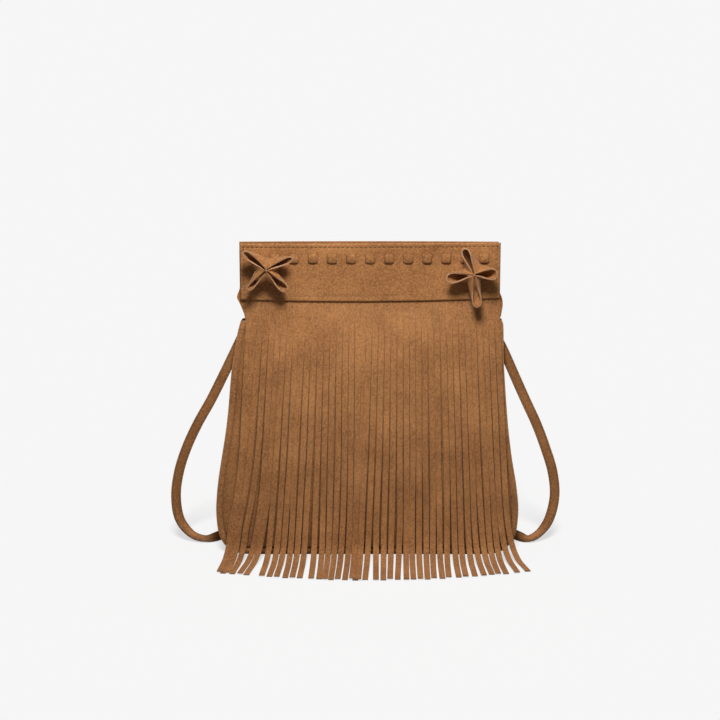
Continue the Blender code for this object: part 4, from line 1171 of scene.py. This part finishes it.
knot_parts = []
for place in (LEFT_FLOWER, RIGHT_FLOWER):
    face = -float(band_face(np.array(place[0]), np.array(place[1]))) - 0.0003 - FLOWER_RISE - 0.0006
    for angle in (20, 68, 115, 160):
        way = np.array([math.cos(math.radians(angle)), 0.0, math.sin(math.radians(angle))])
        centre = np.array([place[0], face, place[1]])
        spots = [centre - way * 0.0006, centre, centre + way * 0.0006]
        points, faces = stitch_row(spots, np.tile([0.0, -1.0, 0.0], (3, 1)), 0.0030, 0.00026)
        knot_parts.append((points[30:60], tube_faces(5, 6)))
knot_points, knot_faces = join_meshes(knot_parts)
make_piece("flower_threads", knot_points, knot_faces, [thread])


# Magnetic snap: two pressed brass discs on the linings that face each other inside the mouth, one with a hole
# round its magnet and one with a short stud.
SNAP_HEIGHT = 0.250
brass = bpy.data.materials.new("antiqued_brass")
brass.use_nodes = True
brass_shader = brass.node_tree.nodes["Principled BSDF"]
brass_place = brass.node_tree.nodes.new("ShaderNodeTexCoord").outputs["Object"]
brass_tarnish = noise_node(brass.node_tree.nodes, brass.node_tree.links, brass_place, 500.0, 4.0)
brass_ramp = brass.node_tree.nodes.new("ShaderNodeValToRGB")
brass_ramp.color_ramp.elements[0].color = (0.26, 0.17, 0.08, 1.0)
brass_ramp.color_ramp.elements[1].color = (0.50, 0.36, 0.18, 1.0)
brass.node_tree.links.new(brass_tarnish.outputs["Fac"], brass_ramp.inputs["Fac"])
brass.node_tree.links.new(brass_ramp.outputs["Color"], brass_shader.inputs["Base Color"])
brass_rough = brass.node_tree.nodes.new("ShaderNodeMapRange")
brass_rough.inputs["To Min"].default_value = 0.28
brass_rough.inputs["To Max"].default_value = 0.50
brass.node_tree.links.new(brass_tarnish.outputs["Fac"], brass_rough.inputs["Value"])
brass.node_tree.links.new(brass_rough.outputs["Result"], brass_shader.inputs["Roughness"])
brass_shader.inputs["Metallic"].default_value = 1.0
snap_backing = float(outer_depth(0.007, 0.257)) - SUEDE - CLEAR - LINING - CLEAR
# half profiles of the discs: radius and height over the lining
SOCKET_PROFILE = ((0.0062, 0.0), (0.0068, 0.0002), (0.0070, 0.0006), (0.0070, 0.0019), (0.0068, 0.0024),
                  (0.0062, 0.0026), (0.0031, 0.0026), (0.0027, 0.0024), (0.0026, 0.0020), (0.0026, 0.0009))
STUD_PROFILE = ((0.0062, 0.0), (0.0068, 0.0002), (0.0070, 0.0005), (0.0070, 0.0011), (0.0068, 0.0014),
                (0.0062, 0.0016), (0.0026, 0.0016), (0.0022, 0.0018), (0.0022, 0.0027), (0.0018, 0.0030))
snap_halves = (("snap_socket_disc", "snap_socket", -1, SOCKET_PROFILE),
               ("snap_stud_disc", "snap_stud", 1, STUD_PROFILE))
for name, node, facing, profile in snap_halves:
    points = []
    for radius, rise in profile:
        for angle in np.arange(48) * math.pi / 24:
            height = SNAP_HEIGHT + radius * math.sin(angle)
            points.append((radius * math.cos(angle), facing * (snap_backing - rise), height))
    faces = tube_faces(len(profile), 48)
    if facing > 0:
        faces = [tuple(reversed(face)) for face in faces]
    disc = make_piece(name, points, faces, [brass])
    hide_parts(node)
